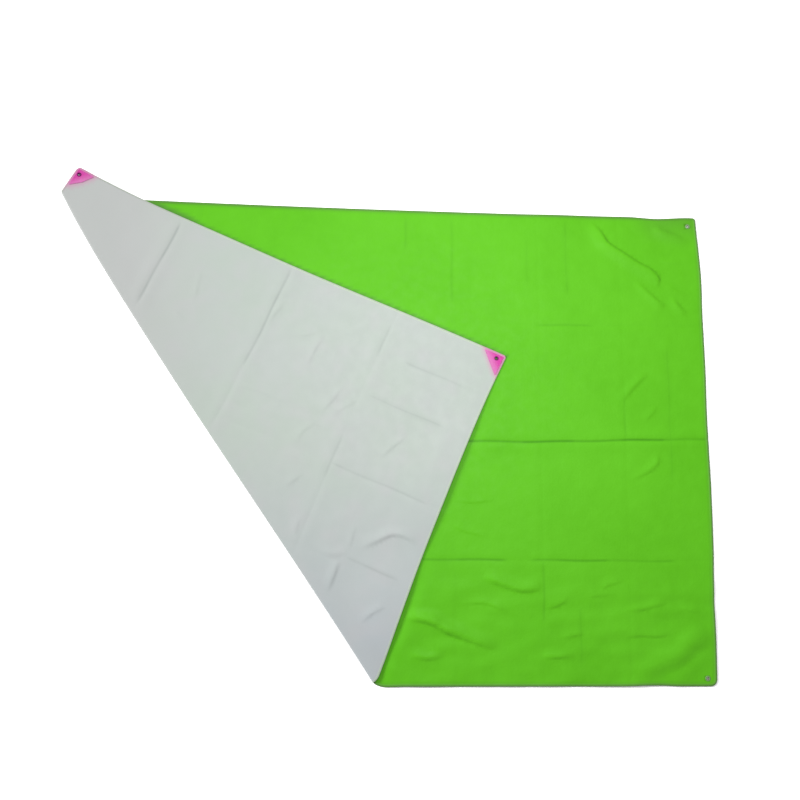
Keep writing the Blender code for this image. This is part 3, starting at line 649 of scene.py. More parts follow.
cut = flat_cut()
if np.mean([f.normal.z for f in cut.faces]) < 0:
    bmesh.ops.reverse_faces(cut, faces=cut.faces)
flat_u, flat_v = np.array([v.co.xy[:] for v in cut.verts]).T
faces = [[v.index for v in f.verts] for f in cut.faces]
edges_out = [(loop.vert.index, loop.link_loop_next.vert.index) for f in cut.faces for loop in f.loops
             if loop.edge.is_boundary]
cut.free()
print("flat cut:", len(flat_u), "points,", len(faces), "faces,", len(edges_out), "edges on rim and holes")


# %% [markdown]
# ## The laminate as a closed shell
#
# Solidify could thicken the sheet, but the hem wants a thickness of its own with a rounded outer edge, so
# the two faces are placed directly: the silver face where the cut is laid, and the green one along the
# normal above it. Near the outer edge both draw together, which rounds the hem. A few values are kept on
# the points for the finishes: whether a point is in the hem or on its very rim, how much painted edge shade
# it gets near the edge, how dark a packing crease is painted there for wear and for the shade in its
# valley, how much of a patch's dye has reached it, and how much painted shadow it gets beside the flap's
# far edge.
# A UV map holds the cut's own coordinates, so grain follows the cloth.

# %% The laid surface and its unevenness
HANDLED_BELOW, HANDLED = 0.36, 4.3      # the near end, below this v, is more uneven by this much


def surface(u, v, unevenness=0.0):
    """Places and normals of the silver face; normals point to the green side."""
    step = 0.0004
    u0, u1 = np.maximum(u - step, 0.0), np.minimum(u + step, CUT_LENGTH)
    v0, v1 = np.maximum(v - step, 0.0), np.minimum(v + step, CUT_WIDTH)
    run_u = lay(u1, v, unevenness) - lay(u0, v, unevenness)
    run_v = lay(u, v1, unevenness) - lay(u, v0, unevenness)
    normal = np.cross(run_u, run_v)
    normal /= np.linalg.norm(normal, axis=1)[:, None]
    return lay(u, v, unevenness) + SHIFT, normal


def unevenness_at(u, v):
    """Plain unevenness of the cloth, strongest at the lower layer's near end, which was handled most."""
    handled = smooth((HANDLED_BELOW - v) / 0.12) * smooth(across_fold(u, v) / 0.06)
    plain = 0.6 * ripple(u, v, 0.16, 1.7) + 0.4 * ripple(u, v, 0.055, 5.2)
    return plain + HANDLED * ripple(u, v, 0.034, 8.3, 2.4) * handled


middle = np.array([[1.4], [0.9]])
print("in the middle the cloth's normal is", surface(*middle)[1][0].round(4))


# %% Two faces and a rim
RIM_ROUND, RIM_DRAW = 0.0016, 0.0006    # the rim is rounded over this way, by this much on each face


def edge_distance(u, v):
    """Distance of points of the cut from its outer edge."""
    return np.minimum(np.minimum(u, CUT_LENGTH - u), np.minimum(v, CUT_WIDTH - v))


inward = edge_distance(flat_u, flat_v)
in_hem = 1.0 - np.clip((inward - HEM_WIDE) / HEM_STEP, 0.0, 1.0)
on_outside = np.clip(1.0 - inward / RIM_ROUND, 0.0, 1.0) ** 2
thick = LAMINATE + (HEM_THICK - LAMINATE) * in_hem
u, v = rounded(flat_u, flat_v)
silver_side, normal = surface(u, v, unevenness_at(u, v))
green_side = silver_side + normal * (thick - RIM_DRAW * on_outside)[:, None]
silver_side = silver_side + normal * (RIM_DRAW * on_outside)[:, None]

count = len(u)
shell_faces = [face[::-1] for face in faces]
shell_faces += [[i + count for i in face] for face in faces]
shell_faces += [[a, b, b + count, a + count] for a, b in edges_out]

blanket_mesh = bpy.data.meshes.new("foil_blanket")
blanket_mesh.from_pydata(np.vstack([silver_side, green_side]).tolist(), [], shell_faces)
slots = np.zeros(len(shell_faces), dtype=np.int32)
slots[:len(faces)] = 1
blanket_mesh.polygons.foreach_set("material_index", slots)
blanket_mesh.shade_smooth()
print("shell:", len(blanket_mesh.vertices), "points,",
      sum(len(f) - 2 for f in shell_faces), "triangles")


# %% Where the cloth is dyed, and where wear and shade are painted on it
DARK_LINE_HALF = 0.006           # half width of a crease's painted dark line, for wear and for shade
DYE_EDGE, DYE_FADE, DYE_PAST = 0.003, 0.018, 0.65       # how a patch's dye ends past its slanted side
SHADED_BORDER, FAR_SHADE_FROM, FAR_SHADE_BORDER = 0.018, 1.77, 0.105     # painted edge shade, reaching further in at the far edge's right end


def crease_wear_and_shade(u, v):
    """Painted dark line on a sharp packing crease, for wear and for the shade in its valley: 1 on the line,
    0 a few millimetres from it.
    """
    darkened = np.zeros(len(u))
    flap = across_fold(u, v) < 0.0
    for stretches, here in ((GREEN_STRETCHES, ~flap), (SILVER_STRETCHES, flap)):
        for stretch in stretches:
            off, along = (u - stretch.place, v) if stretch.axis == "u" else (v - stretch.place, u)
            off = off - wander(stretch.axis, stretch.place, along)
            patchy = 0.5 + 0.9 * np.sin(23.0 * along + 60.0 * stretch.place) + 0.5 * np.sin(61.0 * along)
            share = stretch_share((stretch,), stretch.axis, stretch.place, u, v)
            share = share * (0.70 + 0.30 * smooth(patchy))
            darkened = np.maximum(darkened, here * share * np.clip(1.0 - np.abs(off) / DARK_LINE_HALF, 0.0, 1.0))
    return darkened


def pink_share(u, v):
    """Where a flap patch's dye shows on the cloth: full on the hem, fading past the slanted side."""
    dyed = np.zeros(len(u))
    for corner in CORNERS:
        if corner.flap:
            a, b = np.abs(u - corner.u), np.abs(v - corner.v)
            bulge = 1.0 - np.minimum(np.abs(a - b) / corner.leg, 1.0) ** 2
            past = (a + b - (corner.leg + 2.0 * corner.belly * bulge)) / math.sqrt(2.0)
            fading = DYE_PAST * (1.0 - smooth((past + DYE_EDGE) / DYE_FADE))
            dyed = np.maximum(dyed, np.where(past < -DYE_EDGE, 1.0, fading))
    return dyed


def painted_edge_shade(u, v):
    """Painted edge shade: 1 on the rim and 0 further in; at the far edge's right end it reaches over a
    wider border.
    """
    far_shade = smooth((u - FAR_SHADE_FROM) / 0.15) * (0.55 + 0.6 * ripple(u, v, 0.045, 2.2))
    beside = (1.0 - smooth((CUT_WIDTH - v) / FAR_SHADE_BORDER)) * np.clip(far_shade, 0.0, 1.0)
    return np.maximum(1.0 - smooth(edge_distance(u, v) / SHADED_BORDER), beside)


print("most dye on the cloth:", pink_share(u, v).max(), " most wear:", crease_wear_and_shade(u, v).max().round(3))


# %% Painted shadow beside the flap's far edge
FOLD_END = 0.98             # past this v the flap's far edge comes near the fold
FLAP_SHADOW_REACH, FLAP_SHADOW_MORE = 0.011, 0.010          # reach of the painted shadow beside the edge, and how much more near the fold


def flap_edge_painted_shadow(u, v, place):
    """Painted shadow: 1 close beside the flap's far edge, where little light gets in, 0 further off."""
    edge_v = np.linspace(0.0, CUT_WIDTH, 1400)
    edge = kdtree.KDTree(len(edge_v))
    for k, (x, y) in enumerate((lay(0.0 * edge_v, edge_v) + SHIFT)[:, :2]):
        edge.insert((x, y, 0.0), k)
    edge.balance()
    nearest = [edge.find((x, y, 0.0))[1:] for x, y in place[:, :2].tolist()]
    beside, away = np.array(nearest).T
    near_fold = smooth((edge_v[beside.astype(int)] - FOLD_END) / 0.06)
    share = (0.85 + 0.15 * near_fold) * smooth(1.0 - away / (FLAP_SHADOW_REACH + FLAP_SHADOW_MORE * near_fold))
    return share * (across_fold(u, v) > 0.0)


# painted shadow on the lower layer beside the flap's far edge
tucked = flap_edge_painted_shadow(u, v, silver_side)
print("points tucked in:", int((tucked > 0.5).sum()))


# %% The values kept on the points, and the cut as a UV map
def keep_on_points(mesh, name, values, kind="FLOAT", key="value"):
    """Keep a number or a vector on every point of a mesh."""
    layer = mesh.attributes.new(name, kind, "POINT")
    layer.data.foreach_set(key, np.asarray(values, dtype=np.float32).ravel())


def map_cut(mesh, u, v):
    """Keep the cut's own coordinates as a UV map, on both faces of a sheet."""
    points = np.zeros(len(mesh.loops), dtype=np.int32)
    mesh.loops.foreach_get("vertex_index", points)
    places = np.tile(np.column_stack([u, v]) / CUT_LENGTH, (2, 1))[points]
    mesh.uv_layers.new(name="cut").data.foreach_set("uv", places.astype(np.float32).ravel())


on_rim = 1.0 - np.clip((inward - RIM_ROUND) / 0.0014, 0.0, 1.0)
for name, values in (("hem", in_hem), ("crease", crease_wear_and_shade(u, v)), ("rim", on_rim),
                     ("border", painted_edge_shade(flat_u, flat_v)), ("dyed", pink_share(u, v)),
                     ("tucked", tucked)):
    keep_on_points(blanket_mesh, name, np.tile(values, 2))
map_cut(blanket_mesh, u, v)
print("values kept:", [a.name for a in blanket_mesh.attributes if a.domain == "POINT"])


# %% [markdown]
# ## Finishes
#
# Both faces are films over a woven scrim, so both show a faint square grain of about 2.4 mm and a very
# fine crackle. The green film is a satin plastic, a little paler where it is stretched and darker on the
# hem and its rim. The packing creases of both films are painted darker, for wear and for the shade in their
# valleys, and painted shade darkens the green along its edge, wider at the far right corner, and close
# beside the flap's far edge. The silver film is metallised but matt, so it is only part metal, with faint
# clouds of cooler and warmer grey. Where it lies over the green, its grey and its hem edging are tinted
# green, a painted reflection of the green cloth. Each finish is a small tree of nodes, and a few helpers
# keep the trees short.

# %% Colours and nodes
LIT = 1.72                  # light on the blanket's middle, where 1 makes pure white read as white


def seen(red, green, blue):
    """The surface colour that reads as this screen colour, 0 to 255, under the studio light."""
    light = [((c / 255 + 0.055) / 1.055) ** 2.4 if c > 10 else c / 255 / 12.92 for c in (red, green, blue)]
    return (*(c / LIT for c in light), 1.0)


def add(tree, kind, values=(), **settings):
    """One node of a tree, with its settings and the values of its named or numbered inputs."""
    made = tree.nodes.new(kind)
    for key, value in settings.items():
        setattr(made, key, value)
    for key, value in dict(values).items():
        if isinstance(value, bpy.types.NodeSocket):
            tree.links.new(value, made.inputs[key])
        else:
            made.inputs[key].default_value = value
    return made


def finish(name, roughness, metallic):
    """A new finish with its tree and its shader."""
    made = bpy.data.materials.new(name)
    made.use_nodes = True
    shader = made.node_tree.nodes["Principled BSDF"]
    shader.inputs["Roughness"].default_value = roughness
    shader.inputs["Metallic"].default_value = metallic
    return made, made.node_tree, shader


print("white on the screen is a surface colour of", round(seen(255, 255, 255)[0], 3))


# %% Helpers that keep a finish short
BAND_SCALE = 0.314159       # a wave texture of this scale repeats once a metre


def mix(tree, share, first, second):
    """Mix two colours by a share, and give the colour."""
    return add(tree, "ShaderNodeMix", {0: share, 6: first, 7: second}, data_type="RGBA").outputs[2]


def spread(tree, value, low=0.0, high=1.0, to_low=0.0, to_high=1.0):
    """Map a value's low..high to 0..1, or to two other ends."""
    return add(tree, "ShaderNodeMapRange", {"Value": value, "From Min": low, "From Max": high,
                                            "To Min": to_low, "To Max": to_high}).outputs[0]


def clouds(tree, place, scale, detail=2.0, low=0.35, high=0.65):
    """Soft noise spread to 0..1."""
    grain = add(tree, "ShaderNodeTexNoise", {"Vector": place, "Scale": scale, "Detail": detail})
    return spread(tree, grain.outputs[0], low, high)


def coated(tree, base, *coats):
    """Lay colours over a base, each by a share and how strongly that share counts."""
    for share, strength, colour in coats:
        counts = add(tree, "ShaderNodeMath", {0: share, 1: strength}, operation="MULTIPLY")
        base = mix(tree, counts.outputs[0], base, colour)
    return base


def scrim(tree, place, pitch):
    """The square grain of a woven scrim: the higher of two sets of bands, one for every second thread."""
    wave = {"Vector": place, "Scale": BAND_SCALE / pitch / 2, "Distortion": 0.4, "Detail": 1.0,
            "Detail Scale": 2.0}
    bands = [add(tree, "ShaderNodeTexWave", wave, bands_direction=way).outputs[1] for way in ("X", "Y")]
    return add(tree, "ShaderNodeMath", {0: bands[0], 1: bands[1]}, operation="MAXIMUM").outputs[0]


def bumps(tree, shader, *layers):
    """Chain bumps of (height, distance in metres) into the shader's normal."""
    normal = None
    for height, distance in layers:
        values = {"Height": height, "Distance": distance, "Strength": 1.0}
        if normal:
            values["Normal"] = normal
        normal = add(tree, "ShaderNodeBump", values).outputs[0]
    tree.links.new(normal, shader.inputs["Normal"])


def cut_place(tree):
    """The cut's coordinates in metres, for grain that follows the cloth."""
    uv = add(tree, "ShaderNodeUVMap", uv_map="cut")
    return add(tree, "ShaderNodeMapping", {"Vector": uv.outputs[0], "Scale": (CUT_LENGTH,) * 3}).outputs[0]


def kept(tree, name):
    """A value that was kept on the points."""
    return add(tree, "ShaderNodeAttribute", attribute_name=name).outputs["Fac"]


def connect(tree, shader, base, dull=None, low=0.0, high=1.0):
    """Give a shader its colour and, where a share for it is given, a roughness between two ends."""
    tree.links.new(base, shader.inputs["Base Color"])
    if dull is not None:
        tree.links.new(spread(tree, dull, to_low=low, to_high=high), shader.inputs["Roughness"])


print("bands one millimetre apart need a texture scale of", BAND_SCALE / 0.001)

# %% The green film
SCRIM_PITCH = 0.0024
green_film, tree, shader = finish("green_film", 0.48, 0.0)
place = cut_place(tree)
base = mix(tree, clouds(tree, place, 4.0), seen(98, 196, 27), seen(102, 201, 31))
base = coated(tree, base, (clouds(tree, place, 26.0, 3.0), 0.25, seen(107, 207, 37)),
              *((kept(tree, name), strength, colour) for name, strength, colour in (
                  # crease: painted darker for wear and for shade in the valleys; tucked: painted shadow
                  # beside the flap's far edge
                  ("crease", 0.75, seen(60, 140, 14)), ("tucked", 0.95, seen(86, 142, 58)),
                  # border: painted shade along the edge, wider at the far right corner
                  ("border", 0.75, seen(92, 164, 46)), ("hem", 0.80, seen(100, 158, 62)),
                  ("rim", 0.75, seen(88, 130, 62)))))
connect(tree, shader, base, clouds(tree, place, 40.0, 3.0), 0.42, 0.56)
shader.inputs["Specular IOR Level"].default_value = 0.10
bumps(tree, shader, (clouds(tree, place, 12.0, 3.0), 0.0006), (clouds(tree, place, 150.0, 3.0), 0.00008),
      (scrim(tree, place, SCRIM_PITCH), 0.00005))
print("green film:", len(tree.nodes), "nodes")

# %% The silver film
silver_film, tree, shader = finish("silver_film", 0.60, 0.10)
place = cut_place(tree)
across_floor = add(tree, "ShaderNodeSeparateXYZ", {0: add(tree, "ShaderNodeTexCoord").outputs["Object"]})
cooler = spread(tree, across_floor.outputs["Y"], -0.1, -0.6)
# Over the green, the silver's grey and its hem edging are tinted green, a painted reflection of the green
# cloth; past the green, over the floor, both turn neutral grey.
past_green = spread(tree, across_floor.outputs["X"], -0.50, -0.75)
edging = mix(tree, past_green, seen(200, 218, 190), seen(190, 193, 190))
base = mix(tree, cooler, seen(190, 201, 192), seen(190, 197, 201))
base = coated(tree, base, (clouds(tree, place, 5.0), 0.5, seen(194, 199, 198)),
              (clouds(tree, place, 14.0, 1.0, 0.5, 0.7), 0.3, seen(198, 198, 200)),
              # the crease colour is painted darker, for wear and for the shade in the crease valleys
              (past_green, 0.8, seen(194, 196, 195)), (kept(tree, "crease"), 0.60, seen(152, 160, 156)),
              (kept(tree, "hem"), 0.70, edging), (kept(tree, "rim"), 0.55, seen(170, 182, 160)),
              (kept(tree, "dyed"), 0.75, seen(224, 120, 184)))
connect(tree, shader, base, clouds(tree, place, 30.0, 2.0), 0.58, 0.66)
shader.inputs["Specular IOR Level"].default_value = 0.35
bumps(tree, shader, (clouds(tree, place, 9.0, 1.0), 0.0003), (clouds(tree, place, 170.0, 3.0), 0.00004),
      (scrim(tree, place, SCRIM_PITCH), 0.00003))
print("silver film:", len(tree.nodes), "nodes")

# %% The blanket piece
def place_piece(name, mesh, *materials):
    """A new object in the scene, with its finishes in the order of their slots."""
    piece = bpy.data.objects.new(name, mesh)
    for made in materials:
        mesh.materials.append(made)
    bpy.context.scene.collection.objects.link(piece)
    return piece


blanket = place_piece("foil_blanket", blanket_mesh, green_film, silver_film)
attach(blanket, "root")
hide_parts("blanket_sheet")
print("finishes of the blanket:", [made.name for made in blanket_mesh.materials])


# %% [markdown]
# ## Corner patches
#
# Each patch is a triangle of woven tape cloth on the silver side. It could be a curve with a bevel, but a
# patch is cloth too: it is filled flat on the cut as a triangle with a ring hole, laid by the same
# function as the sheet, and thickened away from it, with edges that draw together as the hem's do.

# %% Patch outline on the cut
def patch_outline(corner, inset=0.0):
    """Right triangle inside the hem with trimmed, slightly rounded ends, as (u, v) points."""
    near, far = HEM_WIDE + PLAY + inset, corner.leg - HEM_WIDE - PLAY - 2.4 * inset
    half = (near + far) / 2 + corner.belly
    blunt, trim, turn = near + 0.0020, 0.0040, 0.0015
    loop = [(near + turn, near), (far - trim, near), (far - 0.3 * trim, near + 0.0006), (far, blunt),
            (half, half), (blunt, far), (near + 0.0006, far - 0.3 * trim), (near, far - trim),
            (near, near + turn)]
    return [(corner.u + corner.toward_u * a, corner.v + corner.toward_v * b) for a, b in loop]


print("points round a patch:", len(patch_outline(CORNERS[0])))


# %% From the outline to a closed patch
PATCH_DRAW = 0.00025        # a patch's edge is rounded by this much on each face


def patch_mesh(corner):
    """Closed patch: an upper and a lower face with an edge that draws together."""
    flat = bmesh.new()
    centre_u, centre_v = Vector(eyelet_on_cut(corner))
    loops = [patch_outline(corner), patch_outline(corner, 0.0006),
             [(centre_u + HOLE_RING * math.cos(a), centre_v + HOLE_RING * math.sin(a))
              for a in (math.pi * k / 12 for k in range(24))]]
    rings = [[flat.verts.new((*p, 0.0)) for p in loop] for loop in loops]
    edges = [[flat.edges.new((a, b)) for a, b in zip(ring, ring[1:] + ring[:1])] for ring in rings]
    for a, b, c, d in zip(rings[0], rings[0][1:] + rings[0][:1], rings[1][1:] + rings[1][:1], rings[1]):
        flat.faces.new((a, b, c, d))
    made = bmesh.ops.triangle_fill(flat, use_beauty=True, edges=edges[1] + edges[2])["geom"]
    bmesh.ops.delete(flat, geom=[f for f in made if isinstance(f, bmesh.types.BMFace)
                                 and all(v in rings[2] for v in f.verts)], context="FACES_ONLY")
    bmesh.ops.recalc_face_normals(flat, faces=flat.faces)
    if sum(f.normal.z for f in flat.faces) < 0:
        bmesh.ops.reverse_faces(flat, faces=flat.faces)
    flat.verts.index_update()
    u, v = np.array([p.co.xy[:] for p in flat.verts]).T
    outside = np.array([p in set(rings[0]) for p in flat.verts], dtype=float)
    place, normal = surface(u, v)
    upper = place - normal * (PLAY + PATCH_DRAW * outside)[:, None]
    lower = place - normal * (PLAY + PATCH_THICK - PATCH_DRAW * outside)[:, None]
    n = len(u)
    faces = [[p.index + n for p in f.verts][::-1] for f in flat.faces]
    faces += [[p.index for p in f.verts] for f in flat.faces]
    faces += [[a.vert.index + n, a.link_loop_next.vert.index + n, a.link_loop_next.vert.index, a.vert.index]
              for f in flat.faces for a in f.loops if a.edge.is_boundary]
    flat.free()
    mesh = bpy.data.meshes.new("patch_" + corner.name)
    mesh.from_pydata(np.vstack([upper, lower]).tolist(), [], faces)
    fade = np.abs(u - corner.u) + np.abs(v - corner.v) - 2 * HEM_WIDE
    fade /= corner.leg + 2 * corner.belly - 3 * HEM_WIDE
    keep_on_points(mesh, "toward_slant", np.tile(fade, 2))
    map_cut(mesh, u, v)
    return mesh


print(f"a patch is {1000 * PATCH_THICK:.1f} mm thick and {1000 * PLAY:.1f} mm from the sheet")


# %% Pink tape cloth
pink_cloth, tree, shader = finish("pink_cloth", 0.62, 0.0)
place = cut_place(tree)
base = mix(tree, clouds(tree, place, 120.0, 2.0), seen(208, 22, 154), seen(217, 44, 170))
faded = spread(tree, kept(tree, "toward_slant"), 0.55)
connect(tree, shader, coated(tree, base, (faded, 0.50, seen(224, 150, 202))))
shader.inputs["Sheen Weight"].default_value = 0.15
bumps(tree, shader, (clouds(tree, place, 300.0, 2.0), 0.00006), (scrim(tree, place, 0.0008), 0.00008))
print("pink cloth:", len(tree.nodes), "nodes")

# %% The four patches
patches = {}
for corner in CORNERS:
    patch = place_piece("pink_patch_" + corner.name, patch_mesh(corner), pink_cloth)
    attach(patch, "root")
    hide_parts("patch_" + corner.name)
    patches[corner.name] = patch
print("patches:", {name: len(patch.data.polygons) for name, patch in patches.items()})


# %% [markdown]
# ## Stitches
#
# The hem is held by a row of stitches 3.6 mm from the edge, which shows on both faces, and each patch by
# rows along its three sides. Thousands of the same small thing are what Geometry Nodes are for: the script
# only lays out one point for each stitch, with the directions along the row and out of the cloth, and the
# tree puts a short swell of thread on every point, each a little different.

# %% A tree that sews
def sewing_tree():
    """Geometry Nodes tree that puts one short swell of thread on every point."""
    tree = bpy.data.node_groups.new("thread_stitches", "GeometryNodeTree")
    tree.interface.new_socket("Geometry", in_out="OUTPUT", socket_type="NodeSocketGeometry")
    tree.interface.new_socket("Points", in_out="INPUT", socket_type="NodeSocketGeometry")
    for name, kind in (("Stitch Length", "Float"), ("Thread Width", "Float"), ("Slant", "Float"),
                       ("Seed", "Int"), ("Thread", "Material")):
        tree.interface.new_socket(name, in_out="INPUT", socket_type="NodeSocket" + kind)
    asked = add(tree, "NodeGroupInput").outputs
    swell = add(tree, "GeometryNodeMeshUVSphere", {"Segments": 6, "Rings": 4, "Radius": 0.5})
    size = add(tree, "ShaderNodeCombineXYZ", {0: asked["Stitch Length"], 1: asked["Thread Width"],
                                              2: asked["Thread Width"]})
    thread = add(tree, "GeometryNodeTransform", {"Geometry": swell.outputs[0], "Scale": size.outputs[0]})
    out_of_cloth, along_row = (
        add(tree, "GeometryNodeInputNamedAttribute", {"Name": name}, data_type="FLOAT_VECTOR")
        for name in ("out_of_cloth", "along_row"))
    upright = add(tree, "FunctionNodeAlignRotationToVector", {"Vector": out_of_cloth.outputs[0]}, axis="Z")
    laid = add(tree, "FunctionNodeAlignRotationToVector",
               {"Rotation": upright.outputs[0], "Vector": along_row.outputs[0]}, axis="X", pivot_axis="Z")
    few = add(tree, "FunctionNodeRandomValue", {2: -0.12, 3: 0.12, "Seed": asked["Seed"]},
              data_type="FLOAT")
    turn = add(tree, "ShaderNodeMath", {0: few.outputs[1], 1: asked["Slant"]}, operation="ADD")
    spin = add(tree, "ShaderNodeCombineXYZ", {2: turn.outputs[0]})
    turned = add(tree, "FunctionNodeRotateRotation",
                 {"Rotation": laid.outputs[0], "Rotate By": spin.outputs[0]}, rotation_space="LOCAL")
    uneven = add(tree, "FunctionNodeRandomValue", {2: 0.88, 3: 1.06, "Seed": asked["Seed"]},
                 data_type="FLOAT")
    sewn = add(tree, "GeometryNodeInstanceOnPoints",
               {"Points": asked["Points"], "Instance": thread.outputs[0],
                "Rotation": turned.outputs[0], "Scale": uneven.outputs[1]})
    real = add(tree, "GeometryNodeRealizeInstances", {"Geometry": sewn.outputs[0]})
    soft = add(tree, "GeometryNodeSetShadeSmooth", {"Geometry": real.outputs[0], "Shade Smooth": True})
    dressed = add(tree, "GeometryNodeSetMaterial",
                  {"Geometry": soft.outputs[0], "Material": asked["Thread"]})
    add(tree, "NodeGroupOutput", {0: dressed.outputs[0]})
    return tree


SEW = sewing_tree()
print("sewing tree inputs:", [item.name for item in SEW.interface.items_tree if item.in_out == "INPUT"])


# %% Points for the rows
HEM_PATH_STEPS = 2000       # short steps along each side of the hem's path


def spaced(path, pitch, closed):
    """Points one pitch apart along a path, as (u, v)."""
    path = np.array(path + path[:1] if closed else path)
    run = np.concatenate([[0.0], np.cumsum(np.hypot(*np.diff(path, axis=0).T))])
    stops = np.linspace(0.0, run[-1], max(int(run[-1] / pitch), 2), endpoint=not closed)
    return np.interp(stops, run, path[:, 0]), np.interp(stops, run, path[:, 1])


def hem_path(inset):
    """Once round the cut at an inset, with the cut's rounded corners."""
    corners = np.array([(inset, inset), (CUT_LENGTH - inset, inset),
                        (CUT_LENGTH - inset, CUT_WIDTH - inset), (inset, CUT_WIDTH - inset)])
    path = [a + (b - a) * t for a, b in zip(corners, np.roll(corners, -1, 0))
            for t in np.arange(HEM_PATH_STEPS) / HEM_PATH_STEPS]
    return list(zip(*rounded(*np.array(path).T)))


def stitch_points(path, pitch, side, closed=True, height=0.0, under=0.0):
    """Laid points with their directions; side is 1 on the green face and -1 on the silver one."""
    u, v = spaced(path, pitch, closed)
    place, normal = surface(u, v, unevenness_at(u, v))
    ahead = np.roll(place, -1, 0) - place
    if not closed:
        ahead[-1] = ahead[-2]
    place = place + normal * (height if side > 0 else -under)
    return place, normal * side, ahead / np.linalg.norm(ahead, axis=1)[:, None]


print("path for the hem's row:", len(hem_path(HEM_WIDE / 2)), "short steps")


# %% Sewing a row
def sew(name, rows, material, length, width, slant, seed):
    """Lay the points of all rows, let the tree sew on them, and keep the plain mesh."""
    places, outward, ahead = (np.vstack(parts) for parts in zip(*rows))
    mesh = bpy.data.meshes.new(name)
    mesh.from_pydata(places.tolist(), [], [])
    keep_on_points(mesh, "out_of_cloth", outward, "FLOAT_VECTOR", "vector")
    keep_on_points(mesh, "along_row", ahead, "FLOAT_VECTOR", "vector")
    row = place_piece(name, mesh)
    sewing = row.modifiers.new("sewing", "NODES")
    sewing.node_group = SEW
    wanted = {"Stitch Length": length, "Thread Width": width, "Slant": slant, "Seed": seed,
              "Thread": material}
    for item in SEW.interface.items_tree:
        if item.in_out == "INPUT" and item.name in wanted:
            sewing[item.identifier] = wanted[item.name]
    made = bpy.data.meshes.new_from_object(row.evaluated_get(bpy.context.evaluated_depsgraph_get()))
    row.modifiers.remove(sewing)
    row.data = made
    made.name = name
    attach(row, "root")
    print(f"{name}: {len(places)} stitches, {len(made.polygons)} faces")
    return row


# %% Thread, hem rows and patch rows
THREAD_CLEAR = 0.00005      # the middle of a thread lies this far off the cloth
HEM_SEAM, HEM_PITCH = 0.0036, 0.0040    # a row's way from the edge, and the pitch of its stitches
PATCH_SEAM, PATCH_PITCH = 0.0022, 0.0030


def thread_finish(name, colour, paler):
    """Matt thread with a fine twist of two shades."""
    made, tree, shader = finish(name, 0.6, 0.0)
    place = add(tree, "ShaderNodeTexCoord").outputs["Object"]
    connect(tree, shader, mix(tree, clouds(tree, place, 900.0, 1.0), colour, paler))
    bumps(tree, shader, (clouds(tree, place, 2500.0, 1.0), 0.00004))
    return made


green_thread = thread_finish("green_thread", seen(84, 128, 62), seen(112, 160, 84))
pink_thread = thread_finish("pink_thread", seen(206, 96, 172), seen(232, 150, 208))

seam = hem_path(HEM_SEAM)
hem_row = sew("hem_stitches", [
    stitch_points(seam, HEM_PITCH, 1, height=HEM_THICK + THREAD_CLEAR),
    stitch_points(seam, HEM_PITCH, -1, under=THREAD_CLEAR),
], green_thread, length=0.0031, width=0.00055, slant=0.05, seed=3)

rows = []
for corner in CORNERS:
    inner = patch_outline(corner, PATCH_SEAM)
    slant_side = curved(inner[3:6], 8)
    for path in (slant_side.tolist(), [inner[0], inner[1]], [inner[-1], inner[-2]]):
        rows.append(stitch_points([tuple(p) for p in path], PATCH_PITCH, -1, closed=False,
                                  under=PLAY + PATCH_THICK + THREAD_CLEAR))
patch_row = sew("patch_stitches", rows, pink_thread, length=0.0023, width=0.00050, slant=0.04, seed=8)


# %% [markdown]
# ## Eyelets
#
# A rolled eyelet has a broad flange on one side of the cloth and a narrow rolled rim on the other, joined
# by the barrel. It is a turned part: one half section spun round its axis. Blender's spin would do it too,
# but plain loops write the same faces in the same order each time. The flange is bare satin metal. On the
# patch side the rim and the bore are dark purple, as the photograph shows them there: lacquer on the rim,
# and painted shade in the bore.

# %% Half section of an eyelet
FLANGE_SEAT = LAMINATE + PLAY
RIM_SEAT = -(PLAY + PATCH_THICK + PLAY)
BORE, BARREL, MOUTH, FLANGE, RIM = 0.0032, 0.0037, 0.0041, 0.0078, 0.0065      # radii


def arc(centre, radii, start, end, pieces):
    """Points on a quarter or half oval, as (radius, height)."""
    for k in range(pieces + 1):
        turn = math.radians(start + (end - start) * k / pieces)
        yield centre[0] + radii[0] * math.cos(turn), centre[1] + radii[1] * math.sin(turn)


def eyelet_section():
    """The closed half section, as (radius, height): flange, bore, rim, and back inside the cloth."""
    flange = [*arc((FLANGE - 0.0011, FLANGE_SEAT), (0.0011, 0.0009), 0, 90, 6),
              *arc((MOUTH, FLANGE_SEAT), (0.0009, 0.0009), 90, 150, 5)]
    bore = [(BORE, FLANGE_SEAT - 0.0002), (BORE, RIM_SEAT - 0.0002)]
    rim = [*arc((BORE + 0.0008, RIM_SEAT), (0.0008, 0.0008), 200, 270, 5),
           *arc((RIM - 0.0010, RIM_SEAT), (0.0010, 0.0008), 270, 360, 6)]
    return flange + bore + rim + [(BARREL, RIM_SEAT), (BARREL, FLANGE_SEAT)]


print("points in the half section:", len(eyelet_section()))


# %% Turning an eyelet
TURNS = 48                  # flat steps round an eyelet


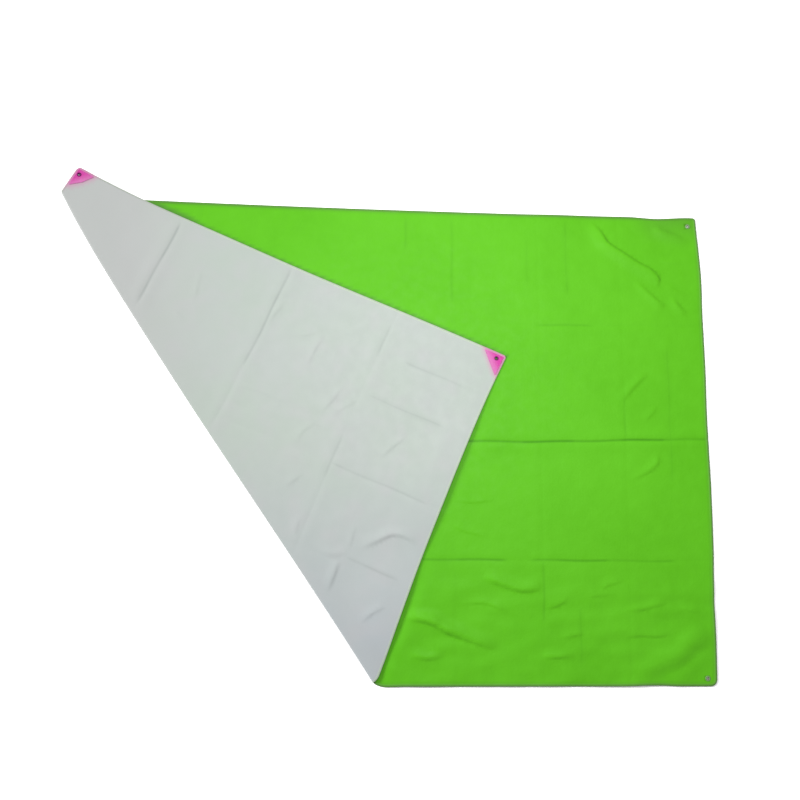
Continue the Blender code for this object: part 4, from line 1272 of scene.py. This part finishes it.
def eyelet_piece(corner, metal, lacquer):
    """Turn the half section round its axis, seat it there, and lay it face down on the flap."""
    section = eyelet_section()
    n, axis, over = len(section), eyelet_axis(corner), -1.0 if corner.flap else 1.0
    points, faces, lacquered = [], [], []
    for k in range(TURNS):
        turn, after = 2 * math.pi * k / TURNS, (k + 1) % TURNS
        for i, (radius, height) in enumerate(section):
            ahead = (i + 1) % n
            points.append((axis[0] + radius * math.cos(turn), axis[1] + over * radius * math.sin(turn),
                           axis[2] + over * height))
            faces.append((k * n + i, after * n + i, after * n + ahead, k * n + ahead))
            # the rim and the bore take the dark purple: lacquer on the rim, and painted shade in the bore
            lacquered.append((height + section[ahead][1]) / 2 < FLANGE_SEAT - 0.0001)
    mesh = bpy.data.meshes.new("eyelet_ring_" + corner.name)
    mesh.from_pydata(points, [], faces)
    mesh.polygons.foreach_set("material_index", np.array(lacquered, dtype=np.int32))
    mesh.shade_smooth()
    return place_piece("eyelet_ring_" + corner.name, mesh, metal, lacquer)


print(f"flange and rim sit {1000 * (FLANGE_SEAT - RIM_SEAT):.1f} mm apart")


# %% Metal, and dark purple for the lacquered rim and the painted shade in the bore
def metal_finish(name, colour, shade, roughness, metallic, gloss):
    """Satin finish with fine wear, for bare metal or for lacquer."""
    made, tree, shader = finish(name, roughness, metallic)
    shader.inputs["Specular IOR Level"].default_value = gloss
    place = add(tree, "ShaderNodeTexCoord").outputs["Object"]
    connect(tree, shader, mix(tree, clouds(tree, place, 420.0, 3.0), colour, shade),
            clouds(tree, place, 700.0, 3.0), roughness - 0.08, roughness + 0.10)
    bumps(tree, shader, (clouds(tree, place, 1500.0, 2.0), 0.00002))
    return made


bare_metal = metal_finish("bare_metal", seen(146, 190, 122), seen(130, 174, 108), 0.48, 0.45, 0.4)
purple_lacquer_and_bore_shade = metal_finish("purple_lacquer_and_bore_shade", seen(126, 2, 108), seen(104, 0, 90), 0.45, 0.0, 0.15)
for corner in CORNERS:
    eyelet = eyelet_piece(corner, bare_metal, purple_lacquer_and_bore_shade)
    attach(eyelet, "root")
    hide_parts("eyelet_" + corner.name)
print("eyelets turned:", len(CORNERS), "with", len(eyelet.data.polygons), "faces each")


# %% [markdown]
# ## Floor, light and camera
#
# The blanket was photographed from almost straight above on plain white, in light so soft that there is
# hardly a shadow. A white floor under an even sky gives that, and one broad lamp overhead makes the middle
# brighter than the ends. A lamp far off to the left, with about a third of the light, draws the creases and
# wrinkles. The view transform is the plain one, so that the floor can be truly white.

# %% Floor
FLOOR_HALF, FLOOR_BELOW = 14.0, 0.0003


def floor_piece():
    """A plain white square, just below the cloth."""
    mesh = bpy.data.meshes.new("floor")
    sides = ((-1, -1), (1, -1), (1, 1), (-1, 1))
    mesh.from_pydata([(x * FLOOR_HALF, y * FLOOR_HALF, -FLOOR_BELOW) for x, y in sides], [], [(0, 1, 2, 3)])
    made, tree, shader = finish("white_floor", 0.9, 0.0)
    shader.inputs["Base Color"].default_value = (0.98, 0.98, 0.98, 1.0)
    shader.inputs["Specular IOR Level"].default_value = 0.1
    return place_piece("floor", mesh, made)


floor_piece()
print("floor:", 2 * FLOOR_HALF, "m wide")


# %% Light
SKY_STRENGTH, OVERHEAD_WATTS, LEFT_WATTS = 0.58, 24.0, 2480.0


def lamp(name, place, size, watts, aim=(0.0, 0.0, 0.0)):
    """A round soft lamp that the camera doesn't see."""
    light = bpy.data.lights.new(name, "AREA")
    light.shape, light.size, light.energy = "DISK", size, watts
    held = bpy.data.objects.new(name, light)
    held.location = place
    held.visible_camera = False
    held.rotation_euler = (Vector(aim) - Vector(place)).to_track_quat("-Z", "Y").to_euler()
    bpy.context.scene.collection.objects.link(held)


sky = bpy.data.worlds.new("even_sky")
bpy.context.scene.world = sky
sky.use_nodes = True
sky.node_tree.nodes["Background"].inputs["Color"].default_value = (1.0, 1.0, 1.0, 1.0)
sky.node_tree.nodes["Background"].inputs["Strength"].default_value = SKY_STRENGTH
lamp("overhead", (0.25, 0.50, 1.6), 1.2, OVERHEAD_WATTS, aim=(0.25, 0.50, 0.0))
lamp("from_left", (-12.0, 4.0, 7.0), 5.0, LEFT_WATTS)

# %% Camera
CAMERA_AXES = ((0.9960544, 0.0086932, 0.0883179), (-0.0249168, 0.9825543, 0.1842995),
               (-0.0851749, -0.1857729, 0.9788941))     # right, up and back
CAMERA_PLACE = (0.83862, 0.26372, 2.85584)              # on the flat cut, before the shift to the frame

camera = bpy.data.objects.new("camera", bpy.data.cameras.new("camera"))
camera.data.lens, camera.data.sensor_width, camera.data.clip_end = 45.0, 36.0, 60.0
seat = Matrix(CAMERA_AXES).transposed().to_4x4()
seat.translation = Vector(CAMERA_PLACE) + Vector(SHIFT)
camera.matrix_world = seat
bpy.context.scene.collection.objects.link(camera)
bpy.context.scene.camera = camera
bpy.context.scene.view_settings.view_transform = "Standard"
print("camera at", [round(x, 4) for x in seat.translation])
